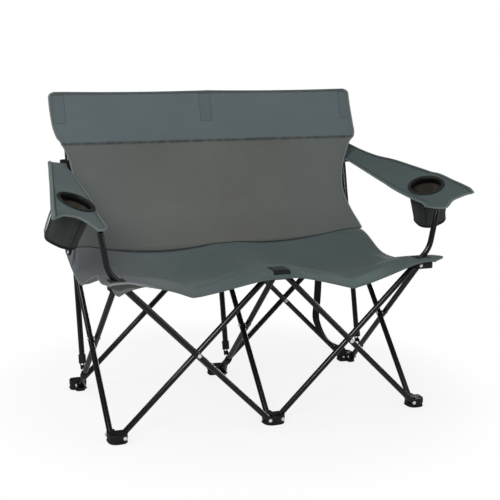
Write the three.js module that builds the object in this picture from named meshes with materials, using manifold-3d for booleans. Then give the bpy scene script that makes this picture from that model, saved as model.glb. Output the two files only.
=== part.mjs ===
// Folding camping loveseat: a steel-tube scissor frame two bays wide under a cloth seat,
// with three back posts, a cloth back, and cloth arm rests that each hold a cup.
// Units are millimetres. +X is the sitter's left-hand side, +Y points to the back, +Z is up.
import * as THREE from 'three';
import { mergeVertices } from 'three/addons/utils/BufferGeometryUtils.js';
import Module from 'manifold-3d';

const wasm = await Module();
wasm.setup();

// Frame layout
const bayPitch = 500;
const frontPinOffset = 21;
const sidePinOffset = 29.5;
const footPinHeight = 17;
const hubPinHeight = 469.5;
const planeStep = 20;
const frameDepth = bayPitch - 2 * frontPinOffset + 2 * sidePinOffset;

// Steel tube
const tubeRadius = 9;
const tubeWall = 1.2;
const tubeOverrun = 9;
const armRun = 35;
const armBendRadius = 90;
const armLean = THREE.MathUtils.degToRad(10);

// Rivets
const shankRadius = 2.5;
const headRadius = 4.5;
const headHeight = 1.8;
const spacerRadius = 7;

// Plastic mouldings
const earWall = 4.5;
const earReach = 13;
const bodyTop = 11;
const baseLip = 4;
const baseThickness = 3.5;
const cornerRadius = 9;
const outerReach = 20;
const pocketRadius = 6.5;
const pocketPlace = 9;
const pinEmbed = 2;
const eyeOffset = 34;
const eyeTravel = 13;
const eyeHeight = 14;
const eyeWall = 3.2;

// Back posts
const postStation = 77.6;
const postPivotOffset = 26;
const postTopInset = 11;
const collarLength = 24;
const collarWall = 2.8;
const tongueThickness = 6;
const tongueRadius = 8;
const cupLength = 30;
const cupWall = 3;
const cupFloor = 12;
const forkWall = 3.5;

// Cloth seat
const clothThickness = 2.5;
const seatFrontOverhang = 14;
const seatBackInset = 8;
const seatCornerReach = 40;
const seatSideReach = 14;
const hubFlat = 40;
const hubFlatDepth = 48;
const frontSag = 47;
const backSag = 12;
const middleSag = 30;
const sideSag = 50;
const baySag = 8;
const patchSize = 50;
const patchDepth = 44;
const patchThickness = 1.2;
const tubeHoleRadius = 16;

// Cloth back
const backFootGap = 6.5;
const backHeight = 471;
const seamRise = 307;
const backHalfWidth = 542;
const backSeamHalfWidth = 532;
const backPinch = 48;
const backSagDepth = 10;
const backFootInset = 5;
const pocketHeight = 95;
const pocketWall = 1.8;
const pocketPlay = 1;

// Arm rests
const cupX = 577.5;
const cupY = 139;
const cupRise = 223.5;
const armSlopeAcross = 0.338;
const armSlopeAlong = 0.274;
const armFrontOuter = 686;
const armRearOuter = 572;
const armFrontInner = 530;
const armRearInner = 480;
const notchPlay = 5;
const armFrontEdge = 20;
const armFrontBow = 33;
const armSplit = 214;
const armRearEdge = 640;
const armRearRise = 292.5;
const armRearSlope = 0.1;
const sleeveHeight = 42;
const ringOuterRadius = 59;
const ringInnerRadius = 47;
const ringThickness = 3.5;
const ringCollarWall = 2;
const ringCollarDepth = 14;
const pouchDepth = 122;
const pouchWall = 2;
const pouchBottomRadius = 43;

// Webbing strap
const strapWidth = 27;
const strapThickness = 1.6;

// Fit
const clearance = 0.3;
const slotPlay = 0.5;
const overrun = 2;
const slotReach = 80;
const foldedTilt = THREE.MathUtils.degToRad(5.3);
const foldedPostLean = THREE.MathUtils.degToRad(4.5);
const tiltMargin = THREE.MathUtils.degToRad(2.5);
const tubeSides = 12;
const smallSides = 8;
const holeSides = 6;
const slotSides = 10;
const armBendSteps = 6;
const seatBaySteps = 8;
const seatDepthSteps = 5;

// Worked-out sizes of the linkage
const scissorRun = bayPitch - 2 * frontPinOffset;
const scissorRise = hubPinHeight - footPinHeight;
const legLength = Math.hypot(scissorRun, scissorRise);
const restTilt = Math.atan2(scissorRun, scissorRise);
const slotHalf = tubeRadius + slotPlay;
const endSweep = Math.hypot(tubeRadius, tubeOverrun) / Math.cos(Math.PI / slotSides) + slotPlay;
const halfStep = planeStep / 2;
const holeRadius = (shankRadius + clearance) / Math.cos(Math.PI / holeSides);
const clothFloor = hubPinHeight + footPinHeight + clearance;
const backFootHeight = hubPinHeight + footPinHeight + backFootGap;
const backTopHeight = backFootHeight + backHeight;
const seamHeight = backFootHeight + seamRise;
const cupZ = hubPinHeight + cupRise;
const armRearHeight = hubPinHeight + armRearRise;
const postTopHeight = backTopHeight - postTopInset;

// Colours
const finishes = {
  steel: { color: 0x17181a, roughness: 0.3, metalness: 0.6 },
  plastic: { color: 0x141516, roughness: 0.5, metalness: 0 },
  rivet: { color: 0xb9bcbf, roughness: 0.3, metalness: 1 },
  seatCloth: { color: 0x4d5859, roughness: 0.9, metalness: 0 },
  backCloth: { color: 0x5c5f5d, roughness: 0.9, metalness: 0 },
  armCloth: { color: 0x505b5b, roughness: 0.9, metalness: 0 },
  pouchCloth: { color: 0x2f3433, roughness: 0.9, metalness: 0 },
  patch: { color: 0x202325, roughness: 0.8, metalness: 0 },
  webbing: { color: 0x0e0f10, roughness: 0.8, metalness: 0 },
};
const materials = Object.fromEntries(
  Object.entries(finishes).map(([key, values]) => [key, new THREE.MeshStandardMaterial(values)]),
);

const chair = new THREE.Group();

function addMesh(name, geometry, finish, position, rotation, parent = chair) {
  const mesh = new THREE.Mesh(geometry, materials[finish]);
  mesh.name = name;
  if (position) mesh.position.set(...position);
  if (rotation) mesh.rotation.set(...rotation);
  parent.add(mesh);
  return mesh;
}

// Closed solids and booleans
function solidOf(geometry) {
  const bare = geometry.clone();
  bare.deleteAttribute('normal');
  bare.deleteAttribute('uv');
  const welded = mergeVertices(bare);
  return new wasm.Manifold(new wasm.Mesh({
    numProp: 3,
    vertProperties: new Float32Array(welded.attributes.position.array),
    triVerts: new Uint32Array(welded.index.array),
  }));
}

function geometryOf(solid) {
  const mesh = solid.getMesh();
  const geometry = new THREE.BufferGeometry();
  geometry.setAttribute('position', new THREE.BufferAttribute(mesh.vertProperties, 3));
  geometry.setIndex(new THREE.BufferAttribute(mesh.triVerts, 1));
  geometry.computeVertexNormals();
  return geometry;
}

function joined(parts) {
  return parts.slice(1).reduce((sum, part) => sum.add(solidOf(part)), solidOf(parts[0]));
}

function cut(solid, tools) {
  return tools.reduce((rest, tool) => rest.subtract(solidOf(tool)), solid);
}

// A straight round bar about one axis, centred where the axis crosses zero
function bar(radius, length, axis, sides = smallSides) {
  const geometry = new THREE.CylinderGeometry(radius, radius, length, sides);
  if (axis === 'x') geometry.rotateZ(Math.PI / 2);
  if (axis === 'z') geometry.rotateX(Math.PI / 2);
  return geometry;
}

// A turned profile of radius and height pairs about the Z axis
function turned(profile, sides) {
  const points = profile.map(([radius, height]) => new THREE.Vector2(radius, height));
  return new THREE.LatheGeometry(points, sides).rotateX(Math.PI / 2);
}

function ringProfile(inner, outer, low, high) {
  return [[inner, low], [outer, low], [outer, high], [inner, high], [inner, low]];
}

function roundedPlate(x0, x1, y0, y1, radius, z0, z1) {
  const shape = new THREE.Shape();
  shape.moveTo(x0 + radius, y0);
  shape.absarc(x1 - radius, y0 + radius, radius, -Math.PI / 2, 0, false);
  shape.absarc(x1 - radius, y1 - radius, radius, 0, Math.PI / 2, false);
  shape.absarc(x0 + radius, y1 - radius, radius, Math.PI / 2, Math.PI, false);
  shape.absarc(x0 + radius, y0 + radius, radius, Math.PI, 1.5 * Math.PI, false);
  const settings = { depth: z1 - z0, bevelEnabled: false, curveSegments: 1 };
  return new THREE.ExtrudeGeometry(shape, settings).translate(0, 0, z0);
}

// A slot with round ends along Y, from y0 to y1
function stadium(radius, y0, y1, z0, z1, x) {
  const shape = new THREE.Shape();
  shape.absarc(0, y0, radius, Math.PI, 2 * Math.PI, false);
  shape.absarc(0, y1, radius, 0, Math.PI, false);
  const settings = { depth: z1 - z0, bevelEnabled: false, curveSegments: 3 };
  return new THREE.ExtrudeGeometry(shape, settings).translate(x, 0, z0);
}

// Steel tubes stand on their lower pin, which is their own zero, and run up their Z axis
function pinHole(height, axis, x = 0) {
  const length = 2 * (tubeRadius + overrun);
  return bar(holeRadius, length, axis, holeSides).translate(x, 0, height);
}

function legTube(axis) {
  const profile = ringProfile(
    tubeRadius - tubeWall, tubeRadius, -tubeOverrun, legLength + tubeOverrun);
  const stations = [0, legLength / 2, legLength];
  return geometryOf(cut(solidOf(turned(profile, tubeSides)), stations.map((s) => pinHole(s, axis))));
}

// A path through stations in the XZ plane, with one ring of the tube at each station
class StationPath extends THREE.Curve {
  constructor(stations) {
    super();
    this.stations = stations;
  }

  getPoint(t, target = new THREE.Vector3()) {
    const place = t * (this.stations.length - 1);
    const first = Math.min(Math.floor(place), this.stations.length - 2);
    return target.lerpVectors(this.stations[first], this.stations[first + 1], place - first);
  }

  getPointAt(t, target) {
    return this.getPoint(t, target);
  }

  getTangent(t, target = new THREE.Vector3()) {
    const index = Math.round(t * (this.stations.length - 1));
    const before = this.stations[Math.max(index - 1, 0)];
    const here = this.stations[index];
    const after = this.stations[Math.min(index + 1, this.stations.length - 1)];
    const arriving = here.clone().sub(before).normalize();
    const leaving = after.clone().sub(here).normalize();
    return target.copy(arriving).add(leaving).normalize();
  }

  getTangentAt(t, target) {
    return this.getTangent(t, target);
  }
}

// The arm rest's plane round the cup, on the +X side
function armPlane(x, y) {
  return cupZ + armSlopeAcross * (x - cupX) + armSlopeAlong * (y - cupY);
}

// How far the arm post rises past its bend to meet the underside of the arm rest
function armRise(side) {
  const run = legLength + armRun;
  const bendX = armBendRadius * (Math.cos(armLean) - Math.cos(restTilt));
  const bendZ = armBendRadius * (Math.sin(restTilt) - Math.sin(armLean));
  const x = frontPinOffset + run * Math.sin(restTilt) + bendX - tubeRadius;
  const z = footPinHeight + run * Math.cos(restTilt) + bendZ + tubeRadius * Math.sin(armLean);
  const under = armPlane(x, side * halfStep - tubeRadius) - clothThickness - clearance;
  return (under - z) / (Math.cos(armLean) - armSlopeAcross * Math.sin(armLean));
}

// The arm tube is a leg that runs on past the corner hub and bends up into the arm post.
// The one that rises to -X bends towards its own +X.
function armTube(side) {
  const bend = restTilt - armLean;
  const bendStart = legLength + armRun;
  const stations = [new THREE.Vector3(0, 0, -tubeOverrun)];
  for (let step = 0; step <= armBendSteps; step += 1) {
    const angle = (bend * step) / armBendSteps;
    const across = -side * armBendRadius * (1 - Math.cos(angle));
    stations.push(new THREE.Vector3(across, 0, bendStart + armBendRadius * Math.sin(angle)));
  }
  const last = stations[stations.length - 1];
  const heading = new THREE.Vector3(-side * Math.sin(bend), 0, Math.cos(bend));
  stations.push(last.clone().addScaledVector(heading, armRise(side)));
  const section = new THREE.Shape();
  section.absarc(0, 0, tubeRadius, 0, 2 * Math.PI, false);
  const bore = new THREE.Path();
  bore.absarc(0, 0, tubeRadius - tubeWall, 0, 2 * Math.PI, true);
  section.holes.push(bore);
  const tube = new THREE.ExtrudeGeometry(section, {
    steps: stations.length - 1,
    extrudePath: new StationPath(stations),
    curveSegments: tubeSides / 2,
  });
  const holes = [0, legLength / 2, legLength].map((s) => pinHole(s, 'y'));
  return geometryOf(cut(solidOf(tube), holes));
}

// A crossing rivet: two domed heads, a shank and the spacer between the tubes, along Z
function crossingRivet() {
  const seat = halfStep + tubeRadius + clearance;
  const spacer = halfStep - tubeRadius - clearance;
  const half = [
    [0, seat + headHeight], [0.6 * headRadius, seat + 0.8 * headHeight], [headRadius, seat],
    [shankRadius, seat], [shankRadius, spacer], [spacerRadius, spacer],
  ];
  const mirrored = half.map(([radius, height]) => [radius, -height]);
  return turned([...mirrored, ...half.reverse()], smallSides);
}

// The space that a tube sweeps in its moulding between folded and open, in its own plane.
// The first coordinate is the way that the tube leans, the second is up.
function sweptSlot(through) {
  const low = foldedTilt - tiltMargin;
  const high = restTilt + tiltMargin;
  const edge = (tilt, side, reach) => new THREE.Vector2(
    Math.sin(tilt) * reach + side * Math.cos(tilt) * slotHalf,
    Math.cos(tilt) * reach - side * Math.sin(tilt) * slotHalf,
  );
  const wedge = (way) => new THREE.ExtrudeGeometry(
    new THREE.Shape([
      edge(low, -1, 0), edge(low, -1, slotReach), edge(high, 1, slotReach), edge(high, 1, 0),
    ].map((point) => point.multiplyScalar(way))),
    { depth: 2 * slotHalf, bevelEnabled: false },
  ).translate(0, 0, -slotHalf).rotateX(Math.PI / 2);
  const end = bar(endSweep, 2 * slotHalf, 'y', slotSides);
  return through ? [wedge(1), wedge(-1), end] : [wedge(1), end];
}

// One moulding, as a foot: its zero is the middle of the foot at pin height, the base is below,
// the right clevis takes the tube that leans to +X, the left one the tube that leans to -X,
// and the side clevis the tube that leans to +Y. Turned over, the same moulding is a hub.
function moulding({ left, right, through, pocket, eye }) {
  const x0 = left ? -(frontPinOffset + earReach) : -(halfStep + slotHalf + earWall);
  const x1 = right ? frontPinOffset + earReach : outerReach;
  const y0 = -(halfStep + slotHalf + earWall);
  const y1 = halfStep + slotHalf + earWall;
  const sideX0 = -(halfStep + slotHalf + earWall);
  const sideX1 = -halfStep + slotHalf + earWall;
  const sideY1 = sidePinOffset + earReach;
  const base = -footPinHeight;
  const lipTop = base + baseThickness;
  const parts = [
    roundedPlate(x0, x1, y0, y1, cornerRadius, base, bodyTop),
    roundedPlate(sideX0, sideX1, 0, sideY1, cornerRadius, base, bodyTop),
    roundedPlate(x0 - baseLip, x1 + baseLip, y0 - baseLip, y1 + baseLip, cornerRadius, base, lipTop),
    roundedPlate(
      sideX0 - baseLip, sideX1 + baseLip, 0, sideY1 + baseLip, cornerRadius, base, lipTop),
  ];
  const eyeRadius = tubeRadius + 2 * clearance;
  const eyeLean = (eyeHeight / 2) * (postRun / postRise);
  if (eye) {
    const outer = eyeRadius + eyeWall;
    const far = -eyeOffset - eyeLean - eyeTravel;
    parts.push(stadium(outer, far, y0 + overrun, -eyeHeight / 2, eyeHeight / 2, halfStep));
  }
  const tools = [];
  const pins = [];
  const pinLength = 2 * (slotHalf + pinEmbed);
  if (right) {
    sweptSlot(through).forEach((tool) => tools.push(tool.translate(frontPinOffset, halfStep, 0)));
    pins.push(bar(shankRadius, pinLength, 'y', holeSides).translate(frontPinOffset, halfStep, 0));
  }
  if (left) {
    sweptSlot(through).forEach((tool) => tools.push(
      tool.rotateZ(Math.PI).translate(-frontPinOffset, -halfStep, 0)));
    pins.push(bar(shankRadius, pinLength, 'y', holeSides).translate(-frontPinOffset, -halfStep, 0));
  }
  sweptSlot(false).forEach((tool) => tools.push(
    tool.rotateZ(Math.PI / 2).translate(-halfStep, sidePinOffset, 0)));
  pins.push(bar(shankRadius, pinLength, 'x', holeSides).translate(-halfStep, sidePinOffset, 0));
  if (pocket) {
    const place = right && left ? 0.4 * pocketPlace : (left ? pocketPlace : -pocketPlace);
    const depth = bodyTop - lipTop + overrun;
    tools.push(bar(pocketRadius, depth, 'z', slotSides)
      .translate(place, -(pocketPlace + clearance), lipTop + depth / 2));
  }
  if (eye) {
    const far = -eyeOffset - eyeLean - eyeTravel;
    tools.push(stadium(
      eyeRadius, far, -eyeOffset + eyeLean, -eyeHeight / 2 - overrun,
      eyeHeight / 2 + overrun, halfStep));
    [postLean, foldedPostLean].forEach((lean) => tools.push(
      bar(eyeRadius + slotPlay, 2 * (footPinHeight + bodyTop), 'z', tubeSides)
        .rotateX(-lean).translate(halfStep, -eyeOffset, 0)));
  }
  const body = cut(joined(parts), tools);
  return geometryOf(pins.reduce((sum, pin) => sum.add(solidOf(pin)), body));
}

// Where each back post pivots, measured from the side scissor's back foot pin, and its lean
const pivotY = frameDepth - sidePinOffset
  - Math.sin(restTilt) * postStation + Math.cos(restTilt) * postPivotOffset;
const pivotZ = footPinHeight
  + Math.cos(restTilt) * postStation + Math.sin(restTilt) * postPivotOffset;
const postRun = frameDepth + eyeOffset - pivotY;
const postRise = hubPinHeight - pivotZ;
const postLean = Math.atan2(postRun, postRise);

// The collar round a side tube, in the tube's own frame, with the tongue that carries the post
function postCollar() {
  const outer = tubeRadius + clearance + collarWall;
  const band = turned(ringProfile(
    tubeRadius - collarWall, outer, postStation - collarLength / 2,
    postStation + collarLength / 2), tubeSides);
  const tongue = new THREE.Shape();
  const root = tubeRadius + collarWall / 2;
  tongue.moveTo(root, -collarLength / 2);
  tongue.absarc(postPivotOffset, 0, tongueRadius, -Math.PI / 2, Math.PI / 2, false);
  tongue.lineTo(root, collarLength / 2);
  const plate = new THREE.ExtrudeGeometry(
    tongue, { depth: tongueThickness, bevelEnabled: false, curveSegments: 4 },
  ).translate(0, 0, -tongueThickness / 2).rotateX(Math.PI / 2).rotateZ(Math.PI / 2)
    .translate(0, 0, postStation);
  const hole = bar(shankRadius + clearance, tongueThickness + 2 * overrun, 'x')
    .translate(0, postPivotOffset, postStation);
  const bore = bar(tubeRadius + clearance, collarLength + 2 * overrun, 'z', tubeSides)
    .translate(0, 0, postStation);
  return geometryOf(cut(joined([band, plate]), [hole, bore]));
}

// The cup that holds a post, in the post's own frame: a fork with a pin, and a socket above it
function postCup() {
  const inner = tubeRadius + clearance;
  const outer = inner + cupWall;
  const socket = turned([
    [0, cupFloor], [outer - cupWall / 2, cupFloor], [outer, cupFloor + cupWall / 2],
    [outer, cupFloor + cupLength], [inner, cupFloor + cupLength], [inner, cupFloor + cupWall],
    [0, cupFloor + cupWall],
  ], tubeSides);
  const gap = tongueThickness / 2 + clearance;
  const ear = new THREE.Shape();
  ear.moveTo(-tongueRadius, cupFloor + cupWall / 2);
  ear.absarc(0, 0, tongueRadius, Math.PI, 2 * Math.PI, false);
  ear.lineTo(tongueRadius, cupFloor + cupWall / 2);
  const ears = [gap, -gap - forkWall].map((place) => new THREE.ExtrudeGeometry(
    ear, { depth: forkWall, bevelEnabled: false, curveSegments: 4 },
  ).rotateX(Math.PI / 2).rotateZ(Math.PI / 2).translate(place, 0, 0));
  const pin = bar(shankRadius, 2 * (gap + forkWall), 'x');
  return geometryOf(joined([socket, ...ears, pin]));
}

function postTube() {
  const start = cupFloor + cupWall + clearance;
  const end = (postTopHeight - pivotZ) / Math.cos(postLean);
  return turned(ringProfile(tubeRadius - tubeWall, tubeRadius, start, end), tubeSides);
}

// A sheet between a top surface and the same surface one thickness lower along a given way
function sheet(columns, rows, surface, away) {
  const top = [];
  for (let row = 0; row <= rows; row += 1) {
    for (let column = 0; column <= columns; column += 1) {
      top.push(surface(column / columns, row / rows));
    }
  }
  const stride = columns + 1;
  const count = top.length;
  const positions = [];
  top.forEach((point) => positions.push(point.x, point.y, point.z));
  top.forEach((point) => positions.push(point.x + away.x, point.y + away.y, point.z + away.z));
  const index = [];
  const quad = (a, b, c, d) => index.push(a, b, c, a, c, d);
  for (let row = 0; row < rows; row += 1) {
    for (let column = 0; column < columns; column += 1) {
      const a = row * stride + column;
      quad(a, a + 1, a + stride + 1, a + stride);
      quad(count + a, count + a + stride, count + a + stride + 1, count + a + 1);
    }
  }
  for (let column = 0; column < columns; column += 1) {
    const last = rows * stride + column;
    quad(column, count + column, count + column + 1, column + 1);
    quad(last, last + 1, count + last + 1, count + last);
  }
  for (let row = 0; row < rows; row += 1) {
    const left = row * stride;
    const right = left + columns;
    quad(left, left + stride, count + left + stride, count + left);
    quad(right, count + right, count + right + stride, right + stride);
  }
  const geometry = new THREE.BufferGeometry();
  geometry.setAttribute('position', new THREE.Float32BufferAttribute(positions, 3));
  geometry.setIndex(index);
  return geometry;
}

// The share of a full sag at a place between two hubs, flat over the hubs themselves
function sagShare(place, span, flat) {
  const share = THREE.MathUtils.clamp((place - flat) / (span - 2 * flat), 0, 1);
  return 4 * share * (1 - share);
}

// The seat hangs from the six hubs: low at the middle of each free edge, lowest inside each bay
function seatTop(x, y) {
  const across = sagShare(Math.min(Math.abs(x), bayPitch) , bayPitch, hubFlat);
  const along = sagShare(y, frameDepth, hubFlatDepth);
  const back = THREE.MathUtils.clamp(y / frameDepth, 0, 1);
  const ridge = middleSag + (sideSag - middleSag) * Math.min(Math.abs(x) / bayPitch, 1);
  const sag = (frontSag * (1 - back) + backSag * back) * across + ridge * along
    + baySag * across * along;
  return clothFloor + clothThickness - sag;
}

// Evenly spaced places from one to another, both kept
function spread(from, to, count) {
  return Array.from({ length: count + 1 }, (_, place) => from + ((to - from) * place) / count);
}

function seatHalf(rows) {
  const bay = spread(hubFlat, bayPitch - hubFlat, seatBaySteps);
  const columns = [...bay.map((x) => -x).reverse(), ...bay];
  const half = (y) => bayPitch + seatCornerReach
    - (seatCornerReach - seatSideReach) * sagShare(y, frameDepth, hubFlatDepth);
  const surface = (u, v) => {
    const place = Math.round(u * (columns.length + 1));
    const y = rows[Math.round(v * (rows.length - 1))];
    const edge = place === 0 ? -half(y) : half(y);
    const x = place > 0 && place <= columns.length ? columns[place - 1] : edge;
    return new THREE.Vector3(x, y, seatTop(x, y));
  };
  return sheet(columns.length + 1, rows.length - 1, surface, new THREE.Vector3(0, 0, -clothThickness));
}

// Where the arm tube passes through the seat cloth
function tubePassage(side) {
  const rise = clothFloor + clothThickness - hubPinHeight;
  const x = side * (bayPitch - frontPinOffset + rise * Math.tan(restTilt));
  return { x, y: side * halfStep, z: clothFloor };
}

// The back hangs from the posts' tops down to the back hubs
const backRun = frameDepth - backFootInset;
const backPlaneTop = pivotY + (backTopHeight - pivotZ) * Math.tan(postLean)
  - (tubeRadius + pocketPlay + clothThickness);

function backDepth(z) {
  const share = (z - backFootHeight) / (backTopHeight - backFootHeight);
  const sagAt = Math.min((z - backFootHeight) / (seamHeight - backFootHeight), 1);
  return backRun + (backPlaneTop - backRun) * share + backSagDepth * Math.sin(Math.PI * sagAt);
}

function backHalf(z) {
  const share = (z - backFootHeight) / (seamHeight - backFootHeight);
  if (share >= 1) return backHalfWidth;
  return backSeamHalfWidth - backPinch * Math.sin(Math.PI * share) ** 0.8;
}

function backPanel() {
  const rowShares = [0, 0.06, 0.13, 0.2, 0.3, 0.4, 0.5, 0.58, 0.65, 0.67, 0.8, 0.97, 1];
  const height = backTopHeight - backFootHeight;
  const surface = (u, v) => {
    const share = rowShares[Math.round(v * (rowShares.length - 1))];
    const z = backFootHeight + height * share;
    const rounding = share === 1 ? cornerRadius : 0;
    return new THREE.Vector3((2 * u - 1) * (backHalf(z) - rounding), backDepth(z), z);
  };
  const away = new THREE.Vector3(0, clothThickness, 0);
  const panel = solidOf(sheet(12, rowShares.length - 1, surface, away));
  const pocketTop = (backTopHeight - tubeRadius / 2 - pivotZ) / Math.cos(postLean);
  const inner = tubeRadius + pocketPlay;
  const outer = inner + pocketWall;
  const pocket = turned([
    [inner, pocketTop - pocketHeight], [outer, pocketTop - pocketHeight],
    [outer, pocketTop], [0, pocketTop], [0, pocketTop - pocketWall],
    [inner, pocketTop - pocketWall], [inner, pocketTop - pocketHeight],
  ], tubeSides);
  const bore = bar(inner, pocketTop, 'z', tubeSides).translate(0, 0, pocketTop / 2 - pocketWall);
  const places = [-1, 0, 1].map((bay) => bay * bayPitch + halfStep);
  const stand = (geometry, x) => geometry.clone().rotateX(-postLean).translate(x, pivotY, pivotZ);
  const whole = places.reduce((sum, x) => sum.add(solidOf(stand(pocket, x))), panel);
  return geometryOf(places.reduce((rest, x) => rest.subtract(solidOf(stand(bore, x))), whole));
}

// Arm rest surface on the +X side: a tilted plane round the cup, easing to the post behind
function armTop(x, y) {
  if (y <= armSplit) return armPlane(x, y);
  const share = (y - armSplit) / (armRearEdge - armSplit);
  const rear = armRearHeight + armRearSlope * (x - armFrontInner);
  return armPlane(x, armSplit) * (1 - share) + rear * share;
}

function armEdges(y) {
  const share = THREE.MathUtils.clamp(y / armRearEdge, 0, 1);
  const outer = armRearOuter + (armFrontOuter - armRearOuter) * (1 - share) ** 1.35;
  const inner = armRearInner + (armFrontInner - armRearInner) * (1 - share) ** 2.2;
  return [inner, outer];
}

function armSheet(side, y0, y1, columns, rows, bowed) {
  const surface = (u, v) => {
    const across = side > 0 ? u : 1 - u;
    const corner = armFrontEdge + (side - 1) * halfStep;
    const bow = bowed ? corner * (1 - across) - 4 * armFrontBow * across * (1 - across) : 0;
    const start = y0 + bow;
    const y = start + (y1 - start) * v;
    const [inner, outer] = armEdges(y);
    const x = inner + (outer - inner) * across;
    return new THREE.Vector3(side * x, y, armTop(x, y));
  };
  return sheet(columns, rows, surface, new THREE.Vector3(0, 0, -clothThickness));
}

// Turns a form about the cup's axis and sets it on the arm rest's plane
function onCup(geometry, side) {
  const normal = new THREE.Vector3(-side * armSlopeAcross, -armSlopeAlong, 1).normalize();
  const turn = new THREE.Quaternion().setFromUnitVectors(new THREE.Vector3(0, 0, 1), normal);
  return geometry.applyQuaternion(turn).translate(side * cupX, cupY, cupZ);
}

function armFront(side) {
  const collar = ringInnerRadius + ringCollarWall + clearance;
  const hole = bar(collar, ringOuterRadius, 'z', 3 * smallSides);
  return geometryOf(cut(solidOf(armSheet(side, 0, armSplit, 6, 6, true)), [onCup(hole, side)]));
}

// The rear of the arm rest passes the back's side edge in a notch and sleeves the post behind it
function armRear(side) {
  const notchX = backHalf(armRearHeight) + notchPlay;
  const notchY = backDepth(armRearHeight) - notchPlay;
  const notch = roundedPlate(
    -notchX, notchX, notchY, notchY + clothThickness + 2 * notchPlay, clothThickness,
    armRearHeight - sleeveHeight, armRearHeight + sleeveHeight);
  const sheetAll = solidOf(armSheet(side, armSplit + clearance, armRearEdge, 4, 8, false));
  const panel = cut(sheetAll, [notch]);
  const along = (armRearHeight - pivotZ) / Math.cos(postLean);
  const inner = tubeRadius + pocketPlay;
  const outer = inner + clothThickness;
  const low = along - sleeveHeight / 2;
  const high = along + sleeveHeight / 2;
  const x = side * bayPitch + halfStep;
  const stand = (geometry) => geometry.rotateX(-postLean).translate(x, pivotY, pivotZ);
  const sleeve = stand(turned(ringProfile(inner, outer, low, high), tubeSides));
  const bore = stand(bar(inner, 2 * sleeveHeight, 'z', tubeSides).translate(0, 0, along));
  return geometryOf(panel.add(solidOf(sleeve)).subtract(solidOf(bore)));
}

function cupRing(side) {
  const collar = ringInnerRadius + ringCollarWall;
  const profile = [
    [ringInnerRadius, -ringCollarDepth], [collar, -ringCollarDepth], [collar, clearance],
    [ringOuterRadius, clearance], [ringOuterRadius, clearance + ringThickness / 2],
    [ringOuterRadius - ringThickness, clearance + ringThickness],
    [ringInnerRadius + ringThickness / 2, clearance + ringThickness],
    [ringInnerRadius, clearance + ringThickness / 2], [ringInnerRadius, -ringCollarDepth],
  ];
  return onCup(turned(profile, 3 * smallSides), side);
}

function cupPouch(side) {
  const inner = ringInnerRadius + ringCollarWall + clearance;
  const top = -(clothThickness + 2 * clearance);
  const profile = [
    [0, -pouchDepth], [pouchBottomRadius, -pouchDepth],
    [pouchBottomRadius + pouchWall, -pouchDepth + pouchWall], [inner + pouchWall, top],
    [inner, top], [inner, -ringCollarDepth - clearance],
    [pouchBottomRadius, -pouchDepth + pouchWall], [0, -pouchDepth + pouchWall],
  ];
  return onCup(turned(profile, 3 * smallSides), side);
}

// A flat black patch on the seat, with a round passage for the arm tube where there is one
function seatPatch(side) {
  const z0 = clothFloor + clothThickness + clearance;
  if (side === 0) {
    const half = patchSize / 2;
    return roundedPlate(
      -half, half, -seatFrontOverhang + clearance, patchDepth - seatFrontOverhang,
      clothThickness, z0, z0 + patchThickness);
  }
  const at = tubePassage(side);
  const half = patchDepth / 2;
  const plate = roundedPlate(
    at.x - half, at.x + half, Math.max(at.y - half, -seatFrontOverhang + clearance), at.y + half,
    clothThickness, z0, z0 + patchThickness);
  const hole = bar(tubeHoleRadius, patchSize, 'z', 2 * smallSides).translate(at.x, at.y, at.z);
  return geometryOf(cut(solidOf(plate), [hole]));
}

// The webbing strap hangs from the seat's underside and turns edge-on at the right back foot.
// Across is a share of the bay, up is a share of the hub height, back is a share of the way from
// the side clevis to the foot's front face, and turn is in half turns.
const strapShares = [
  { across: 0.72, up: 0, back: 0, turn: 0 },
  { across: 0.716, up: 0.66, back: 0, turn: 0 },
  { across: 0.712, up: 0.516, back: 0, turn: 0 },
  { across: 0.706, up: 0.4, back: 0, turn: 0.03 },
  { across: 0.724, up: 0.33, back: 0, turn: 0.1 },
  { across: 0.76, up: 0.26, back: -0.09, turn: 0.22 },
  { across: 0.808, up: 0.202, back: -0.14, turn: 0.38 },
  { across: 0.86, up: 0.164, back: -0.05, turn: 0.6 },
  { across: 0.904, up: 0.132, back: 0.19, turn: 0.8 },
  { across: 0.936, up: 0.094, back: 0.52, turn: 0.96 },
  { across: 0.954, up: 0.051, back: 0.98, turn: 1 },
  { across: 0.956, up: 0.013, back: 1, turn: 1 },
];
const strapStart = frameDepth - sidePinOffset - earReach - baseLip;
const strapEnd = frameDepth - halfStep - slotHalf - earWall - strapThickness / 2 - clearance;

const seatRows = spread(hubFlatDepth, (frameDepth - clearance) / 2, seatDepthSteps);
const frontRows = [-seatFrontOverhang, ...seatRows];
const backRows = [...seatRows.map((y) => frameDepth - y).reverse(), frameDepth - seatBackInset];
const seatFront = solidOf(seatHalf(frontRows));
const passages = [-1, 1].map((side) => {
  const at = tubePassage(side);
  return bar(tubeHoleRadius, patchSize, 'z', 2 * smallSides).translate(at.x, at.y, at.z);
});

// Assembly
const bays = [['left', -1], ['middle', 0], ['right', 1]];
const leanLeft = [0, -restTilt, 0];
const leanRight = [0, restTilt, 0];
const leanBack = [-restTilt, 0, 0];
const leanFront = [restTilt, 0, 0];
const turnOver = [0, Math.PI, 0];
const turnRound = [0, 0, Math.PI];

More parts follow.
